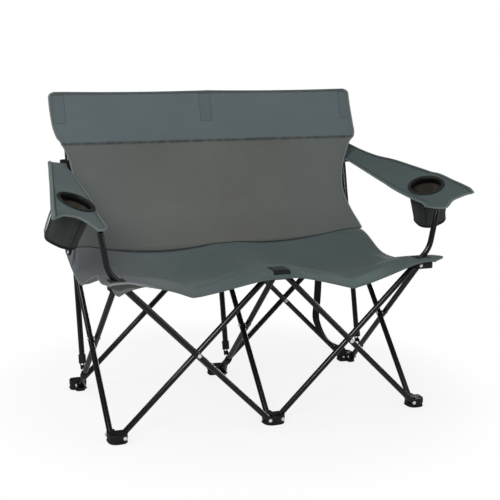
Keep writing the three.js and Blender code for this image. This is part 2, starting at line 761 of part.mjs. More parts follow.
bays.forEach(([bay, place]) => {
  const x = place * bayPitch;
  const toRight = place <= 0;
  const toLeft = place >= 0;
  const corner = place !== 0;
  addMesh(`foot_front_${bay}`, moulding({ left: toLeft, right: toRight, pocket: true }),
    'plastic', [x, 0, footPinHeight]);
  addMesh(`foot_back_${bay}`, moulding({ left: toRight, right: toLeft, pocket: true }),
    'plastic', [x, frameDepth, footPinHeight], turnRound);
  addMesh(`hub_front_${bay}`, moulding({ left: toRight, right: toLeft, through: corner }),
    'plastic', [x, 0, hubPinHeight], turnOver);
  addMesh(`hub_back_${bay}`, moulding({ left: toLeft, right: toRight, eye: true }),
    'plastic', [x, frameDepth, hubPinHeight], [Math.PI, 0, 0]);
  addMesh(`side_leg_fore_${bay}`, legTube('x'), 'steel',
    [x - halfStep, sidePinOffset, footPinHeight], leanBack);
  addMesh(`side_leg_aft_${bay}`, legTube('x'), 'steel',
    [x + halfStep, frameDepth - sidePinOffset, footPinHeight], leanFront);
  addMesh(`rivet_side_${bay}`, crossingRivet().rotateY(Math.PI / 2), 'rivet',
    [x, frameDepth / 2, (footPinHeight + hubPinHeight) / 2]);
  addMesh(`post_collar_${bay}`, postCollar(), 'plastic',
    [x + halfStep, frameDepth - sidePinOffset, footPinHeight], leanFront);
  addMesh(`post_cup_${bay}`, postCup(), 'plastic', [x + halfStep, pivotY, pivotZ], [-postLean, 0, 0]);
  addMesh(`post_${bay}`, postTube(), 'steel', [x + halfStep, pivotY, pivotZ], [-postLean, 0, 0]);
});

// Front scissors: the legs that lean left lie in front of the legs that lean right
addMesh('arm_leg_left', armTube(-1), 'steel', [-frontPinOffset, -halfStep, footPinHeight], leanLeft);
addMesh('arm_leg_right', armTube(1), 'steel', [frontPinOffset, halfStep, footPinHeight], leanRight);
addMesh('front_leg_left', legTube('y'), 'steel',
  [-bayPitch + frontPinOffset, halfStep, footPinHeight], leanRight);
addMesh('front_leg_right', legTube('y'), 'steel',
  [bayPitch - frontPinOffset, -halfStep, footPinHeight], leanLeft);

// Back scissors
addMesh('back_leg_left_inner', legTube('y'), 'steel',
  [-frontPinOffset, frameDepth - halfStep, footPinHeight], leanLeft);
addMesh('back_leg_left_outer', legTube('y'), 'steel',
  [-bayPitch + frontPinOffset, frameDepth + halfStep, footPinHeight], leanRight);
addMesh('back_leg_right_inner', legTube('y'), 'steel',
  [frontPinOffset, frameDepth + halfStep, footPinHeight], leanRight);
addMesh('back_leg_right_outer', legTube('y'), 'steel',
  [bayPitch - frontPinOffset, frameDepth - halfStep, footPinHeight], leanLeft);

[['left', -1], ['right', 1]].forEach(([bay, side]) => {
  const x = (side * bayPitch) / 2;
  const z = (footPinHeight + hubPinHeight) / 2;
  const rivet = () => crossingRivet().rotateX(Math.PI / 2);
  addMesh(`rivet_front_${bay}`, rivet(), 'rivet', [x, 0, z]);
  addMesh(`rivet_back_${bay}`, rivet(), 'rivet', [x, frameDepth, z]);
  addMesh(`arm_front_${bay}`, armFront(side), 'armCloth');
  addMesh(`arm_rear_${bay}`, armRear(side), 'armCloth');
  addMesh(`cup_ring_${bay}`, cupRing(side), 'plastic');
  addMesh(`cup_pouch_${bay}`, cupPouch(side), 'pouchCloth');
  addMesh(`seat_patch_${bay}`, seatPatch(side), 'patch');
});
addMesh('seat_patch_middle', seatPatch(0), 'patch');
addMesh('seat_front', geometryOf(cut(seatFront, passages)), 'seatCloth');
addMesh('seat_back', seatHalf(backRows), 'seatCloth');
addMesh('back_panel', backPanel(), 'backCloth');

// The strap's section is a flat rectangle that turns as it goes
function strap() {
  const route = strapShares.map(({ across, up, back }, place) => {
    const x = across * bayPitch;
    const y = strapStart + (strapEnd - strapStart) * back;
    const top = seatTop(x, y) - clothThickness - 4 * clearance;
    return new THREE.Vector3(x, y, place === 0 ? top : up * hubPinHeight);
  });
  const corners = [[-1, -1], [1, -1], [1, 1], [-1, 1]];
  const positions = [];
  route.forEach((at, place) => {
    const before = route[Math.max(place - 1, 0)];
    const after = route[Math.min(place + 1, route.length - 1)];
    const way = after.clone().sub(before).normalize();
    const turn = strapShares[place].turn * Math.PI;
    const wide = new THREE.Vector3(Math.cos(turn), Math.sin(turn), 0);
    wide.addScaledVector(way, -wide.dot(way)).normalize();
    const thick = new THREE.Vector3().crossVectors(way, wide);
    corners.forEach(([a, b]) => {
      const point = at.clone().addScaledVector(wide, (a * strapWidth) / 2)
        .addScaledVector(thick, (b * strapThickness) / 2);
      positions.push(point.x, point.y, point.z);
    });
  });
  const index = [];
  const quad = (a, b, c, d) => index.push(a, b, c, a, c, d);
  for (let place = 0; place < route.length - 1; place += 1) {
    corners.forEach((_, corner) => {
      const next = (corner + 1) % corners.length;
      const low = place * corners.length;
      const high = low + corners.length;
      quad(low + corner, low + next, high + next, high + corner);
    });
  }
  const end = (route.length - 1) * corners.length;
  quad(0, 3, 2, 1);
  quad(end, end + 1, end + 2, end + 3);
  const geometry = new THREE.BufferGeometry();
  geometry.setAttribute('position', new THREE.Float32BufferAttribute(positions, 3));
  geometry.setIndex(index);
  return geometry;
}
addMesh('carry_strap', strap(), 'webbing');

// The origin is on the floor, under the middle of everything
const loveseat = new THREE.Group();
loveseat.add(chair);
loveseat.updateMatrixWorld(true);
const extent = new THREE.Box3().setFromObject(chair, true);
chair.position.set(-(extent.min.x + extent.max.x) / 2, -(extent.min.y + extent.max.y) / 2, 0);
loveseat.updateMatrixWorld(true);

export default loveseat;
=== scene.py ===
"""Looks of the folding camping loveseat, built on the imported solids.

Metres; +X is the sitter's left, +Y back and +Z up, and left and right in names are as seen from the front.
Shapes are written in the frame's own coordinates, whose zero is the middle of the front feet's row, and are
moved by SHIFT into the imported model's coordinates when the mesh is made.
"""
import math

import bmesh
import bpy
import numpy as np
from mathutils import Matrix, Vector


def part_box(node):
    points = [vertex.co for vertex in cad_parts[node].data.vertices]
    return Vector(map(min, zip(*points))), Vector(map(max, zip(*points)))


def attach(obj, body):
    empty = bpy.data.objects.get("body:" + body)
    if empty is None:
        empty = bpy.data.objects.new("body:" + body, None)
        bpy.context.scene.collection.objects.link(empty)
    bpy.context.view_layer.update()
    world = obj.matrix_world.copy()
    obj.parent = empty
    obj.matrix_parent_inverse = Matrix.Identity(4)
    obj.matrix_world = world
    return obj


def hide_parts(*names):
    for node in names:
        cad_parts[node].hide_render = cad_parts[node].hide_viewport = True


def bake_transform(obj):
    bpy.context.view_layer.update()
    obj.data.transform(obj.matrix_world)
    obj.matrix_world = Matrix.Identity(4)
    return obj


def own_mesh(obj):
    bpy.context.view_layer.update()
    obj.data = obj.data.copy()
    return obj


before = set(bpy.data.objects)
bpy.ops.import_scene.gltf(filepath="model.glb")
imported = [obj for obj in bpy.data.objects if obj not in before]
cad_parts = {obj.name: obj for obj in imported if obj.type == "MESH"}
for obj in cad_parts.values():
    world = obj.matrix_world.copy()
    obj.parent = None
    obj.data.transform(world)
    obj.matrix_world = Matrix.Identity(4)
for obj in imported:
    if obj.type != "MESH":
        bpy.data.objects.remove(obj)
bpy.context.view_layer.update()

# Sizes of the frame, as in the solids
BAY = 0.5
PIN_X = 0.021
PIN_Y = 0.0295
FOOT_PIN = 0.017
HUB_PIN = 0.4695
MIDDLE_Z = (FOOT_PIN + HUB_PIN) / 2
HALF_STEP = 0.01
DEPTH = BAY - 2 * PIN_X + 2 * PIN_Y
RISE = HUB_PIN - FOOT_PIN
LEG = math.hypot(BAY - 2 * PIN_X, RISE)
TILT = math.atan2(BAY - 2 * PIN_X, RISE)
TUBE = 0.009
TUBE_WALL = 0.0012
OVERRUN = 0.009
EAR_FACE = 0.024
CLOTH_TOP = HUB_PIN + FOOT_PIN + 0.0028
POST_STATION = 0.0776
POST_OFFSET = 0.026
POST_START = 0.0153
PIVOT_Y = DEPTH - PIN_Y - math.sin(TILT) * POST_STATION + math.cos(TILT) * POST_OFFSET
PIVOT_Z = FOOT_PIN + math.cos(TILT) * POST_STATION + math.sin(TILT) * POST_OFFSET
LEAN = math.atan2(DEPTH + 0.034 - PIVOT_Y, HUB_PIN - PIVOT_Z)
POST_WAY = np.array([0, math.sin(LEAN), math.cos(LEAN)])
BACK_FOOT = HUB_PIN + FOOT_PIN + 0.0065
BACK_TOP = BACK_FOOT + 0.471
SEAM = BACK_FOOT + 0.307
POST_TOP = BACK_TOP - 0.011
CUP_X = 0.5775
CUP_Y = 0.139
CUP_Z = HUB_PIN + 0.2235
ARM_ACROSS = 0.338
ARM_ALONG = 0.274
BAYS = (("left", -1), ("middle", 0), ("right", 1))
SIDES = (("left", -1), ("right", 1))

rivet_low, rivet_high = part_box("rivet_front_left")
SHIFT = np.array((rivet_low + rivet_high) / 2) - np.array([-BAY / 2, 0, MIDDLE_Z])


def srgb(red, green, blue):
    """A colour as it shows on a screen, 0 to 255, as linear light."""
    share = np.array([red, green, blue]) / 255
    linear = np.where(share > 0.04045, ((share + 0.055) / 1.055) ** 2.4, share / 12.92)
    return (*[float(v) for v in linear], 1.0)


def ramp(value, low, high):
    """The share of the way from low to high, held at 0 before it and at 1 past it."""
    return np.clip((value - low) / (high - low), 0, 1)


def eased(value, low, high):
    share = ramp(value, low, high)
    return share * share * (3 - 2 * share)


# Shader maths
class Value:
    """A socket that adds Math nodes when Python arithmetic is used on it."""

    def __init__(self, finish, socket):
        self.finish = finish
        self.socket = socket

    def __add__(self, other):
        return self.finish.maths("ADD", self, other)

    def __mul__(self, other):
        return self.finish.maths("MULTIPLY", self, other)

    def __sub__(self, other):
        return self.finish.maths("SUBTRACT", self, other)

    def __rsub__(self, other):
        return self.finish.maths("SUBTRACT", other, self)

    def __pow__(self, other):
        return self.finish.maths("POWER", self, other)

    def __abs__(self):
        return self.finish.maths("ABSOLUTE", self)

    __radd__ = __add__
    __rmul__ = __mul__


class Finish:
    """A procedural material: node() adds its nodes, and put() fills its shader's sockets by name."""

    def __init__(self, name, colour, roughness, **constants):
        self.material = bpy.data.materials.new(name)
        self.material.use_nodes = True
        self.material.diffuse_color = colour
        self.tree = self.material.node_tree
        self.shader = self.tree.nodes["Principled BSDF"]
        self.put("Base Color", colour)
        self.put("Roughness", roughness)
        for socket, value in constants.items():
            self.put(socket.replace("_", " "), value)

    def fill(self, socket, value):
        """Links a socket to a value, or sets it to a number or a colour."""
        if isinstance(value, Value):
            value = value.socket
        if isinstance(value, bpy.types.NodeSocket):
            self.tree.links.new(value, socket)
        else:
            socket.default_value = value

    def put(self, name, value):
        self.fill(self.shader.inputs[name], value)

    def node(self, kind, values=None, **settings):
        """A node with its inputs filled; its outputs come back."""
        made = self.tree.nodes.new(kind)
        for key, value in settings.items():
            setattr(made, key, value)
        for key, value in (values or {}).items():
            self.fill(made.inputs[key], value)
        return made.outputs

    def maths(self, operation, *values, clamp=False):
        outputs = self.node("ShaderNodeMath", dict(enumerate(values)), operation=operation, use_clamp=clamp)
        return Value(self, outputs[0])

    def split(self, vector):
        """A vector's first two parts as values, and the vector itself."""
        parts = self.node("ShaderNodeSeparateXYZ", {0: vector})
        return Value(self, parts[0]), Value(self, parts[1]), vector

    def place(self):
        """The surface's own flat coordinates in metres."""
        return self.split(self.node("ShaderNodeUVMap", uv_map="cut")[0])

    def solid_place(self):
        return self.split(self.node("ShaderNodeTexCoord")["Object"])

    def noise(self, spot, scale, detail=2.0, rough=0.5):
        values = {"Vector": spot, "Scale": scale, "Detail": detail, "Roughness": rough}
        return Value(self, self.node("ShaderNodeTexNoise", values)[0])

    def stretched(self, spot, scale):
        return self.node("ShaderNodeMapping", {"Vector": spot, "Scale": scale})[0]

    def ease(self, value, low, high, start=0.0, end=1.0):
        """Goes smoothly from start to end as value goes from low to high."""
        values = {0: value, 1: low, 2: high, 3: start, 4: end}
        return Value(self, self.node("ShaderNodeMapRange", values, interpolation_type="SMOOTHSTEP")[0])

    def line(self, value, at, half, soft):
        """One on a line at a place, with soft sides, and nothing elsewhere."""
        return self.ease(abs(value - at), half, half + soft, 1.0, 0.0)

    def blend(self, share, first, second):
        return self.node("ShaderNodeMix", {"Factor": share, 6: first, 7: second}, data_type="RGBA")[2]

    def tint(self, colour, amount):
        """A colour made lighter or darker by an amount."""
        grey = self.node("ShaderNodeCombineXYZ", dict.fromkeys(range(3), amount))[0]
        colour = colour[:3] if isinstance(colour, tuple) else colour
        return self.node("ShaderNodeVectorMath", {0: colour, 1: grey}, operation="MULTIPLY")[0]

    def bump(self, height, distance, strength=1.0):
        values = {"Strength": strength, "Distance": distance, "Height": height}
        self.put("Normal", self.node("ShaderNodeBump", values)[0])


# Finishes of the hard parts
STEEL_BLACK = (0.0055, 0.0057, 0.0062, 1)
RING_GREY = srgb(38, 38, 39)


def powder_coat():
    """Gloss black powder coat: faint orange peel, slightly uneven gloss and thin scuffs along the tube."""
    f = Finish("gloss_black_steel", STEEL_BLACK, 0.2, Specular_IOR_Level=0.55)
    spot = f.solid_place()[2]
    dust = f.noise(spot, 22, 4, 0.6)
    scuff = f.noise(f.stretched(f.place()[2], (4, 900, 1)), 1.0)
    marks = f.ease(scuff, 0.66, 0.78) * f.ease(dust, 0.52, 0.66)
    f.put("Base Color", f.blend(marks * 0.5, STEEL_BLACK, (0.02, 0.02, 0.02, 1)))
    f.put("Roughness", 0.2 + dust * 0.05 + marks * 0.1)
    f.bump(f.noise(spot, 700) + marks * 0.3, 0.000005, 0.05)
    return f.material


def moulded_plastic():
    """Black moulded plastic with a fine spark grain, rubbed smoother and lighter in places."""
    f = Finish("moulded_black_plastic", (0.008, 0.0083, 0.0088, 1), 0.5, Specular_IOR_Level=0.4)
    spot = f.solid_place()[2]
    wear = f.noise(spot, 60, 4, 0.6)
    rubbed = f.ease(wear, 0.55, 0.75)
    f.put("Base Color", f.blend(rubbed, (0.0075, 0.0078, 0.0083, 1), (0.015, 0.0153, 0.016, 1)))
    f.put("Roughness", 0.42 + wear * 0.2 - rubbed * 0.06)
    f.bump(f.noise(spot, 1500, 2, 0.7), 0.00015, 0.6)
    return f.material


def ring_plastic():
    """Dark grey moulded plastic of the cup rings: painted shade leaves the grey only on the rim's upper
    face, and the rest near black.
    """
    f = Finish("dark_grey_ring", RING_GREY, 0.42, Specular_IOR_Level=0.4)
    spot = f.solid_place()[2]
    wear = f.noise(spot, 40, 4, 0.6)
    # Painted shade: away from the rim's upper face the ring is painted near black
    face = f.line(f.place()[0], 0.0343, 0.0042, 0.0008)
    worn = f.blend(f.ease(wear, 0.4, 0.7), RING_GREY, srgb(48, 48, 49))
    f.put("Base Color", f.blend(face, srgb(15, 15, 15), worn))
    f.put("Roughness", 0.36 + wear * 0.18)
    f.bump(f.noise(spot, 1300, 2, 0.6), 0.00012, 0.5)
    return f.material


def bright_rivet():
    """Plated steel of the rivets, dulled and stained by handling."""
    f = Finish("plated_rivet", (0.85, 0.86, 0.87, 1), 0.5, Metallic=0.3)
    spot = f.solid_place()[2]
    stain = f.noise(spot, 260, 3, 0.6)
    f.put("Base Color", f.blend(f.ease(stain, 0.35, 0.7), (0.9, 0.91, 0.92, 1), (0.66, 0.66, 0.65, 1)))
    f.put("Roughness", 0.4 + stain * 0.22)
    f.bump(f.noise(spot, 1800), 0.00006, 0.5)
    return f.material


# Finishes of the cloths
class Cloth(Finish):
    """Woven polyester: over-and-under threads at real size, slubs, broad shading and a soft sheen."""

    def __init__(self, name, colour, pitch=0.0009):
        super().__init__(name, colour, 0.8, Specular_IOR_Level=0.25, Sheen_Weight=0.06, Sheen_Roughness=0.5)
        self.u, self.v, self.flat = self.place()
        warp, weft = (self.maths("SINE", way * (2 * math.pi / pitch)) for way in (self.u, self.v))
        threads = warp * weft * 0.5 + abs(warp) * 0.25 + abs(weft) * 0.25
        slubs = [self.noise(self.stretched(self.flat, scale), 1.0) for scale in ((900, 25, 1), (25, 900, 1))]
        self.slubs = slubs[0] + slubs[1] - 1.0
        broad = self.noise(self.flat, 5.0, 3, 0.55) - 0.5
        self.mottle = self.noise(self.flat, 45.0, 4, 0.65) - 0.5
        self.shade = 1.0 + self.slubs * 0.16 + broad * 0.22 + self.mottle * 0.1
        self.colour = self.tint(colour, self.shade)
        self.height = threads * 0.35 + self.slubs * 0.4

    def finish(self, bump=0.0004):
        self.put("Base Color", self.colour)
        self.put("Roughness", 0.78 + self.mottle * 0.2 + self.slubs * 0.1)
        self.bump(self.height, bump, 0.7)
        return self.material


# The creases behind the front hem, each with a dark line of painted shade along it: each valley's place and
# the place where its line runs out
CREASES = ((-0.274, -0.05), (0.238, 0.46))
# The stitching of the back's post pockets: their places across, their middle's height, and their half sizes
POCKET_STITCHES = (-0.5125, -0.005, 0.522)
POCKET_V = 0.433
POCKET_HALF = (0.0205, 0.047)
STITCH_WIDE = 0.002
PATCH_BLACK = srgb(38, 42, 44)
WEBBING_BLACK = srgb(22, 23, 24)


def seat_finish():
    """Grey-green seat cloth with painted light and shade: lighter to the left, darker along the creases
    behind its hem, and a painted highlight by the right bay's hem.
    """
    f = Cloth("seat_cloth_grey", srgb(80, 91, 92))
    # Painted light: the seat is lighter and bluer towards its left
    body = f.blend(f.ease(f.u, -0.5, -0.12), srgb(103, 107, 110), srgb(78, 91, 91))
    shade = f.shade
    # Painted shade: a dark line along each crease, with a groove in the bump
    for valley, end in CREASES:
        run = f.maths("DIVIDE", f.u - valley, end - valley, clamp=True)
        line = f.line(f.v - run ** 1.4 * 0.075, 0.08, 0.0011, 0.0012)
        line = line * f.ease(run, 0.0, 0.04) * f.ease(run, 0.85, 1.0, 1.0, 0.0)
        shade = shade * (1.0 - line * 0.22)
        f.height = f.height - line
    # Painted highlight on the right bay's hem facet, right of the middle hub
    lip = f.ease(f.v, 0.082, 0.104, 1.0, 0.0) * f.ease(f.u, 0.04, 0.09) * f.ease(f.u, 0.3, 0.42, 1.0, 0.0)
    f.colour = f.tint(body, shade * (1.0 + lip * 0.3))
    return f.finish()


def pocket_finish():
    """The corner pocket's cloth: painted shade in the hollow under the hem, and a painted highlight on the
    band along its foot.
    """
    f = Cloth("seat_pocket_grey", srgb(84, 92, 92))
    # Painted shade in the hollow above, painted light on the band along the foot
    f.colour = f.tint(f.blend(f.ease(f.v, 0.014, 0.024), srgb(64, 66, 64), srgb(104, 110, 108)), f.shade)
    return f.finish()


def back_finish():
    """Back cloth: a cooler head band over a warmer panel, a dark seam, the post pockets' stitching, and
    painted shade at the panel's foot.
    """
    f = Cloth("back_cloth_grey", srgb(94, 97, 94))
    middle = f.ease(abs(f.u), 0.1, 0.5, 1.0, 0.0)
    warm = f.blend(middle * 0.6, srgb(95, 100, 98), srgb(99, 99, 94))
    body = f.blend(f.ease(f.v, 0.318, 0.322), warm, srgb(89, 100, 102))
    # Painted shade: darker at the panel's foot just above the seat, a little lighter higher up
    low = f.ease(f.v, -0.01, 0.12, 0.95, 1.06)
    uneven = f.ease(f.noise(f.stretched(f.flat, (60, 5, 1)), 1.0), 0.35, 0.65, 0.5, 1.0)
    seam = f.line(f.v, 0.3185, 0.0042, 0.002) * uneven
    hem = f.line(f.v, 0.4835, 0.0045, 0.002) * uneven
    wide, high = POCKET_HALF
    outer = sum(f.line(f.u, at, wide, 0.001) for at in POCKET_STITCHES) * f.line(f.v, POCKET_V, high, 0.001)
    wide, high = wide - STITCH_WIDE, high - STITCH_WIDE
    fill = sum(f.line(f.u, at, wide, 0.001) for at in POCKET_STITCHES) * f.line(f.v, POCKET_V, high, 0.001)
    outline = outer - fill
    shade = f.shade * low * (1.0 - seam * 0.45) * (1.0 - hem * 0.3)
    f.colour = f.tint(body, shade * (1.0 - outline * 0.4) * (1.0 - fill * 0.07))
    f.height = f.height - seam * 1.2 - outline
    return f.finish()


def pouch_finish():
    """Dark pouch cloth with painted light and shade of soft vertical folds; its inside, far along the
    profile, is lighter and browner.
    """
    f = Cloth("pouch_cloth_dark", srgb(47, 52, 50))
    # Painted light and shade: broad vertical streaks stand for soft folds
    painted_fold_shade = 1.0 + (f.noise(f.stretched(f.flat, (3, 24, 1)), 1.0) - 0.5) * 1.1
    f.colour = f.tint(f.blend(f.ease(f.u, 0.172, 0.18), srgb(49, 54, 52), srgb(74, 72, 64)), f.shade * painted_fold_shade)
    return f.finish()


def binding_finish(name, colour, far=None):
    """Narrow woven tape folded over the cloth's edge; a far colour takes over past its first 0.12 m."""
    f = Cloth(name, colour, pitch=0.0007)
    ribs = f.maths("SINE", f.v * (2 * math.pi / 0.0016))
    base = colour if far is None else f.blend(f.ease(f.v, 0.09, 0.17), colour, far)
    f.colour = f.tint(base, f.shade * (1.0 + ribs * 0.08))
    f.height = f.height + ribs * 0.3
    return f.finish(0.0003)


def patch_finish():
    """Dense black reinforcement cloth: a darker border, and a dark sewn mark in its middle."""
    f = Cloth("patch_black", PATCH_BLACK, pitch=0.0012)
    border = f.ease(f.maths("MAXIMUM", abs(f.u), abs(f.v)), 0.0185, 0.0195)
    mark = f.line(f.u, 0.0, 0.008, 0.001) * f.line(f.v, 0.0, 0.0045, 0.001)
    f.colour = f.tint(PATCH_BLACK, f.shade * (1.0 - border * 0.55) * (1.0 - mark * 0.6))
    return f.finish()


def webbing_finish():
    """Black webbing: a herringbone of ribs across its width and plain edges."""
    f = Cloth("webbing_black", WEBBING_BLACK, pitch=0.0014)
    slant = f.maths("SINE", f.v * (2 * math.pi / 0.0028) + abs(f.u - 0.0135) * 900.0)
    f.colour = f.tint(WEBBING_BLACK, f.shade * (1.0 + slant * 0.2))
    f.height = f.height + slant * 0.6
    return f.finish(0.0005)


steel = powder_coat()
plastic = moulded_plastic()
ring_grey = ring_plastic()
rivet_steel = bright_rivet()
seat_cloth = seat_finish()
pocket_cloth = pocket_finish()
back_cloth = back_finish()
# Painted shade: the right arm rest's cloth is a darker copy of the left's
arm_cloths = {-1: Cloth("arm_cloth_left", srgb(79, 92, 93)).finish(),
              1: Cloth("arm_cloth_right", srgb(74, 87, 88)).finish()}
pouch_cloth = pouch_finish()
patch_cloth = patch_finish()
webbing = webbing_finish()
light_binding = binding_finish("binding_light_grey", srgb(116, 122, 120))
front_binding = binding_finish("binding_seat_front", srgb(128, 134, 132), srgb(84, 94, 94))
top_binding = binding_finish("binding_back_top", srgb(84, 92, 92))
arm_binding = binding_finish("binding_arm", srgb(100, 110, 108))
dark_binding = binding_finish("binding_black", srgb(22, 24, 24))
seam_thread = binding_finish("seam_thread_grey", srgb(52, 57, 58))


# Meshes
def placed(name, data):
    """A mesh, lamp or camera as an object of the scene."""
    made = bpy.data.objects.new(name, data)
    bpy.context.scene.collection.objects.link(made)
    return made


def dress(mesh, material):
    mesh.polygons.foreach_set("use_smooth", [True] * len(mesh.polygons))
    mesh.materials.clear()
    mesh.materials.append(material)
    mesh.update()


def mesh_piece(name, points, flat, material, facing=None, keep=None):
    """A grid of points, rows by columns, as a mesh of quads; flat is the same grid in metres of cloth.
    Facing is the way that its face looks; a closed form has none, as its volume tells which side is out.
    Keep marks the quads to make, where some are left out."""
    rows, columns = points.shape[:2]
    index = np.arange(rows * columns).reshape(rows, columns)
    quads = np.stack([index[:-1, :-1], index[:-1, 1:], index[1:, 1:], index[1:, :-1]], -1)
    if keep is not None:
        quads = quads[keep]
    quads = quads.reshape(-1, 4)
    mesh = bpy.data.meshes.new(name)
    mesh.from_pydata((points + SHIFT).reshape(-1, 3).tolist(), [], quads.tolist())
    layer = mesh.uv_layers.new(name="cut")
    layer.data.foreach_set("uv", flat.reshape(-1, 2)[quads.ravel()].astype(np.float32).ravel())
    work = bmesh.new()
    work.from_mesh(mesh)
    bmesh.ops.remove_doubles(work, verts=work.verts, dist=2e-6)
    bmesh.ops.dissolve_degenerate(work, edges=work.edges, dist=1e-7)
    loose = [v for v in work.verts if not v.link_faces]
    bmesh.ops.delete(work, geom=loose, context="VERTS")
    if facing is None:
        turned = work.calc_volume(signed=True) < 0
    else:
        way = Vector(facing)
        turned = sum(face.normal.dot(way) * face.calc_area() for face in work.faces) < 0
    if turned:
        bmesh.ops.reverse_faces(work, faces=work.faces)
    work.to_mesh(mesh)
    work.free()
    dress(mesh, material)
    return placed(name, mesh)


def assign(piece, body, slot, *nodes):
    """The body that a piece rides and the nodes that it stands for; the material slot is not used."""
    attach(piece, body)
    if nodes:
        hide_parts(*nodes)
    return piece


def joined(name, pieces):
    """Several meshes as one piece."""
    for other in bpy.context.selected_objects:
        other.select_set(False)
    for piece in pieces:
        piece.select_set(True)
    bpy.context.view_layer.objects.active = pieces[0]
    bpy.ops.object.join()
    pieces[0].name = name
    pieces[0].data.name = name
    return pieces[0]


def modifier(piece, kind, **settings):
    made = piece.modifiers.new(kind.lower(), kind)
    for key, value in settings.items():
        setattr(made, key, value)


def thicken(piece, thickness):
    modifier(piece, "SOLIDIFY", thickness=thickness, offset=-1.0, use_even_offset=True, thickness_clamp=0.5)


def unit(vectors):
    return vectors / np.linalg.norm(vectors, axis=-1, keepdims=True)


def frame_of(way, near):
    """Three axes whose last runs along way and whose first lies as close to near as it can."""
    way = unit(np.asarray(way, float))
    first = unit(np.asarray(near, float) - np.dot(near, way) * way)
    return np.stack([first, np.cross(way, first), way])


def circle(count):
    """The cosines and sines of a full turn in even steps, which ends exactly where it starts."""
    angle = np.linspace(0, 2 * math.pi, count + 1)
    angle[-1] = 0
    return np.cos(angle), np.sin(angle)


def lathe(profile, sides, origin, axes):
    """A profile of radius and height pairs turned about the third axis, as points and flat places."""
    profile = np.asarray(profile, float)
    cos, sin = circle(sides)
    ring = cos[:, None] * axes[0] + sin[:, None] * axes[1]
    points = origin + profile[:, :1, None] * ring + profile[:, 1:, None] * axes[2]
    run = np.concatenate([[0], np.cumsum(np.hypot(*np.diff(profile, axis=0).T))])
    around = np.linspace(0, 2 * math.pi, sides + 1) * profile[:, 0].max()
    return points, np.stack(np.broadcast_arrays(run[:, None], around), -1)


def swept(centres, firsts, seconds, section):
    """A closed section of first and second shares carried along centres and closed at both ends,
    as points and flat places."""
    points = centres[:, None] + section[:, :1] * firsts[:, None] + section[:, 1:] * seconds[:, None]
    along, around = (np.concatenate([[0], np.cumsum(np.linalg.norm(np.diff(line, axis=0), axis=1))])
                     for line in (centres, section))
    flat = np.stack(np.broadcast_arrays(around, along[:, None]), -1)
    ends = [np.broadcast_to(row[:-1].mean(0), (1, *row.shape)) for row in (points[0], points[-1])]
    return np.concatenate([ends[0], points, ends[1]]), np.concatenate([flat[:1], flat, flat[-1:]])


def through(places, values, at):
    """A smooth curve through a table of places and values, with the slope at each from its neighbours."""
    places, values = np.asarray(places, float), np.asarray(values, float)
    slopes = np.gradient(values, places)
    span = np.clip(np.searchsorted(places, at) - 1, 0, len(places) - 2)
    step = places[span + 1] - places[span]
    t = ramp(at, places[span], places[span + 1])
    first = (2 * t ** 3 - 3 * t ** 2 + 1) * values[span] + (t ** 3 - 2 * t ** 2 + t) * step * slopes[span]
    return first + (3 * t ** 2 - 2 * t ** 3) * values[span + 1] + (t ** 3 - t ** 2) * step * slopes[span + 1]


def edge_roll(name, path, normal, half_wide, half_thick, material):
    """A rolled or folded edge: an oval section carried along a path, its wide way in the cloth's plane."""
    ways = unit(np.gradient(path, axis=0))
    across = unit(np.cross(ways, normal))
    cos, sin = circle(12)
    section = np.stack([half_wide * cos, half_thick * sin], -1)
    return mesh_piece(name, *swept(path, across, unit(np.cross(across, ways)), section), material)


# Steel tubes
PLUG_DEPTH = 0.006
ARM_RUN = 0.035
ARM_BEND = 0.09
ARM_LEAN = math.radians(10)
ARM_CLOTH_UNDER = 0.0028


def tube_piece(name, node, body, origin, lean, sideways, start, length, bend=None):
    """A round tube in one plane: straight from start, with an optional bend and a straight rise after it.
    The wall's profile runs from a plug at one end over the rounded rims and along the outside."""
    inner = TUBE - TUBE_WALL
    rim = TUBE_WALL / 2
    curl = np.linspace(0, math.pi, 7)
    mouth = np.stack([TUBE - rim - rim * np.cos(curl), -rim * np.sin(curl)], -1)
    at, radius, angle = bend or (length, 1.0, 0.0)
    turn = at + radius * np.linspace(0, angle, 25) if bend else []
    runs = np.concatenate([[start], turn, [length]])
    outer = np.stack([np.full(len(runs), TUBE), runs], -1)
    outer[0, 1] += rim
    outer[-1, 1] -= rim
    low, high = start + PLUG_DEPTH, length - PLUG_DEPTH
    profile = np.concatenate([[[0, low], [inner, low]], mouth + [0, start + rim], outer,
                              mouth[::-1] * [1, -1] + [0, length - rim], [[inner, high], [0, high]]])
    radii, along = profile.T
    way = (math.sin(lean) * sideways[0], math.sin(lean) * sideways[1], math.cos(lean))
    inward, side, way = frame_of(way, (*sideways, 0))
    angles = np.clip((along - at) / radius, 0, angle)
    past = np.maximum(along - at - radius * angle, 0)
    rise = radius * np.sin(angles) + past * math.cos(angle)
    drift = radius * (1 - np.cos(angles)) + past * math.sin(angle)
    centres = (np.minimum(along, at) + rise)[:, None] * way - drift[:, None] * inward
    across = np.cos(angles)[:, None] * inward + np.sin(angles)[:, None] * way
    cos, sin = circle(32)
    ring = cos[:, None] * across[:, None] + sin[:, None] * side
    points = origin + centres[:, None] + radii[:, None, None] * ring
    flat = np.stack(np.broadcast_arrays(along[:, None], np.linspace(0, 2 * math.pi, 33) * TUBE), -1)
    piece = mesh_piece(name, points, flat, steel)
    modifier(piece, "EDGE_SPLIT", split_angle=math.radians(50))
    assign(piece, body, "steel", node)


def scissor_tube(name, node, body, x, y, sideways, length=LEG + OVERRUN, bend=None):
    """A tube from its pin in a foot to its pin in a hub, or on past the hub with a bend."""
    origin = np.array([x, y, FOOT_PIN])
    tube_piece(f"tube_{name}", node, body, origin, TILT, sideways, -OVERRUN, length, bend)


def post_run(height):
    """How far up a post's line a height lies."""
    return (height - PIVOT_Z) / math.cos(LEAN)


def arm_plane(x, y):
    """The arm rest's plane round the cup, on the +X side."""
    return CUP_Z + ARM_ACROSS * (x - CUP_X) + ARM_ALONG * (y - CUP_Y)


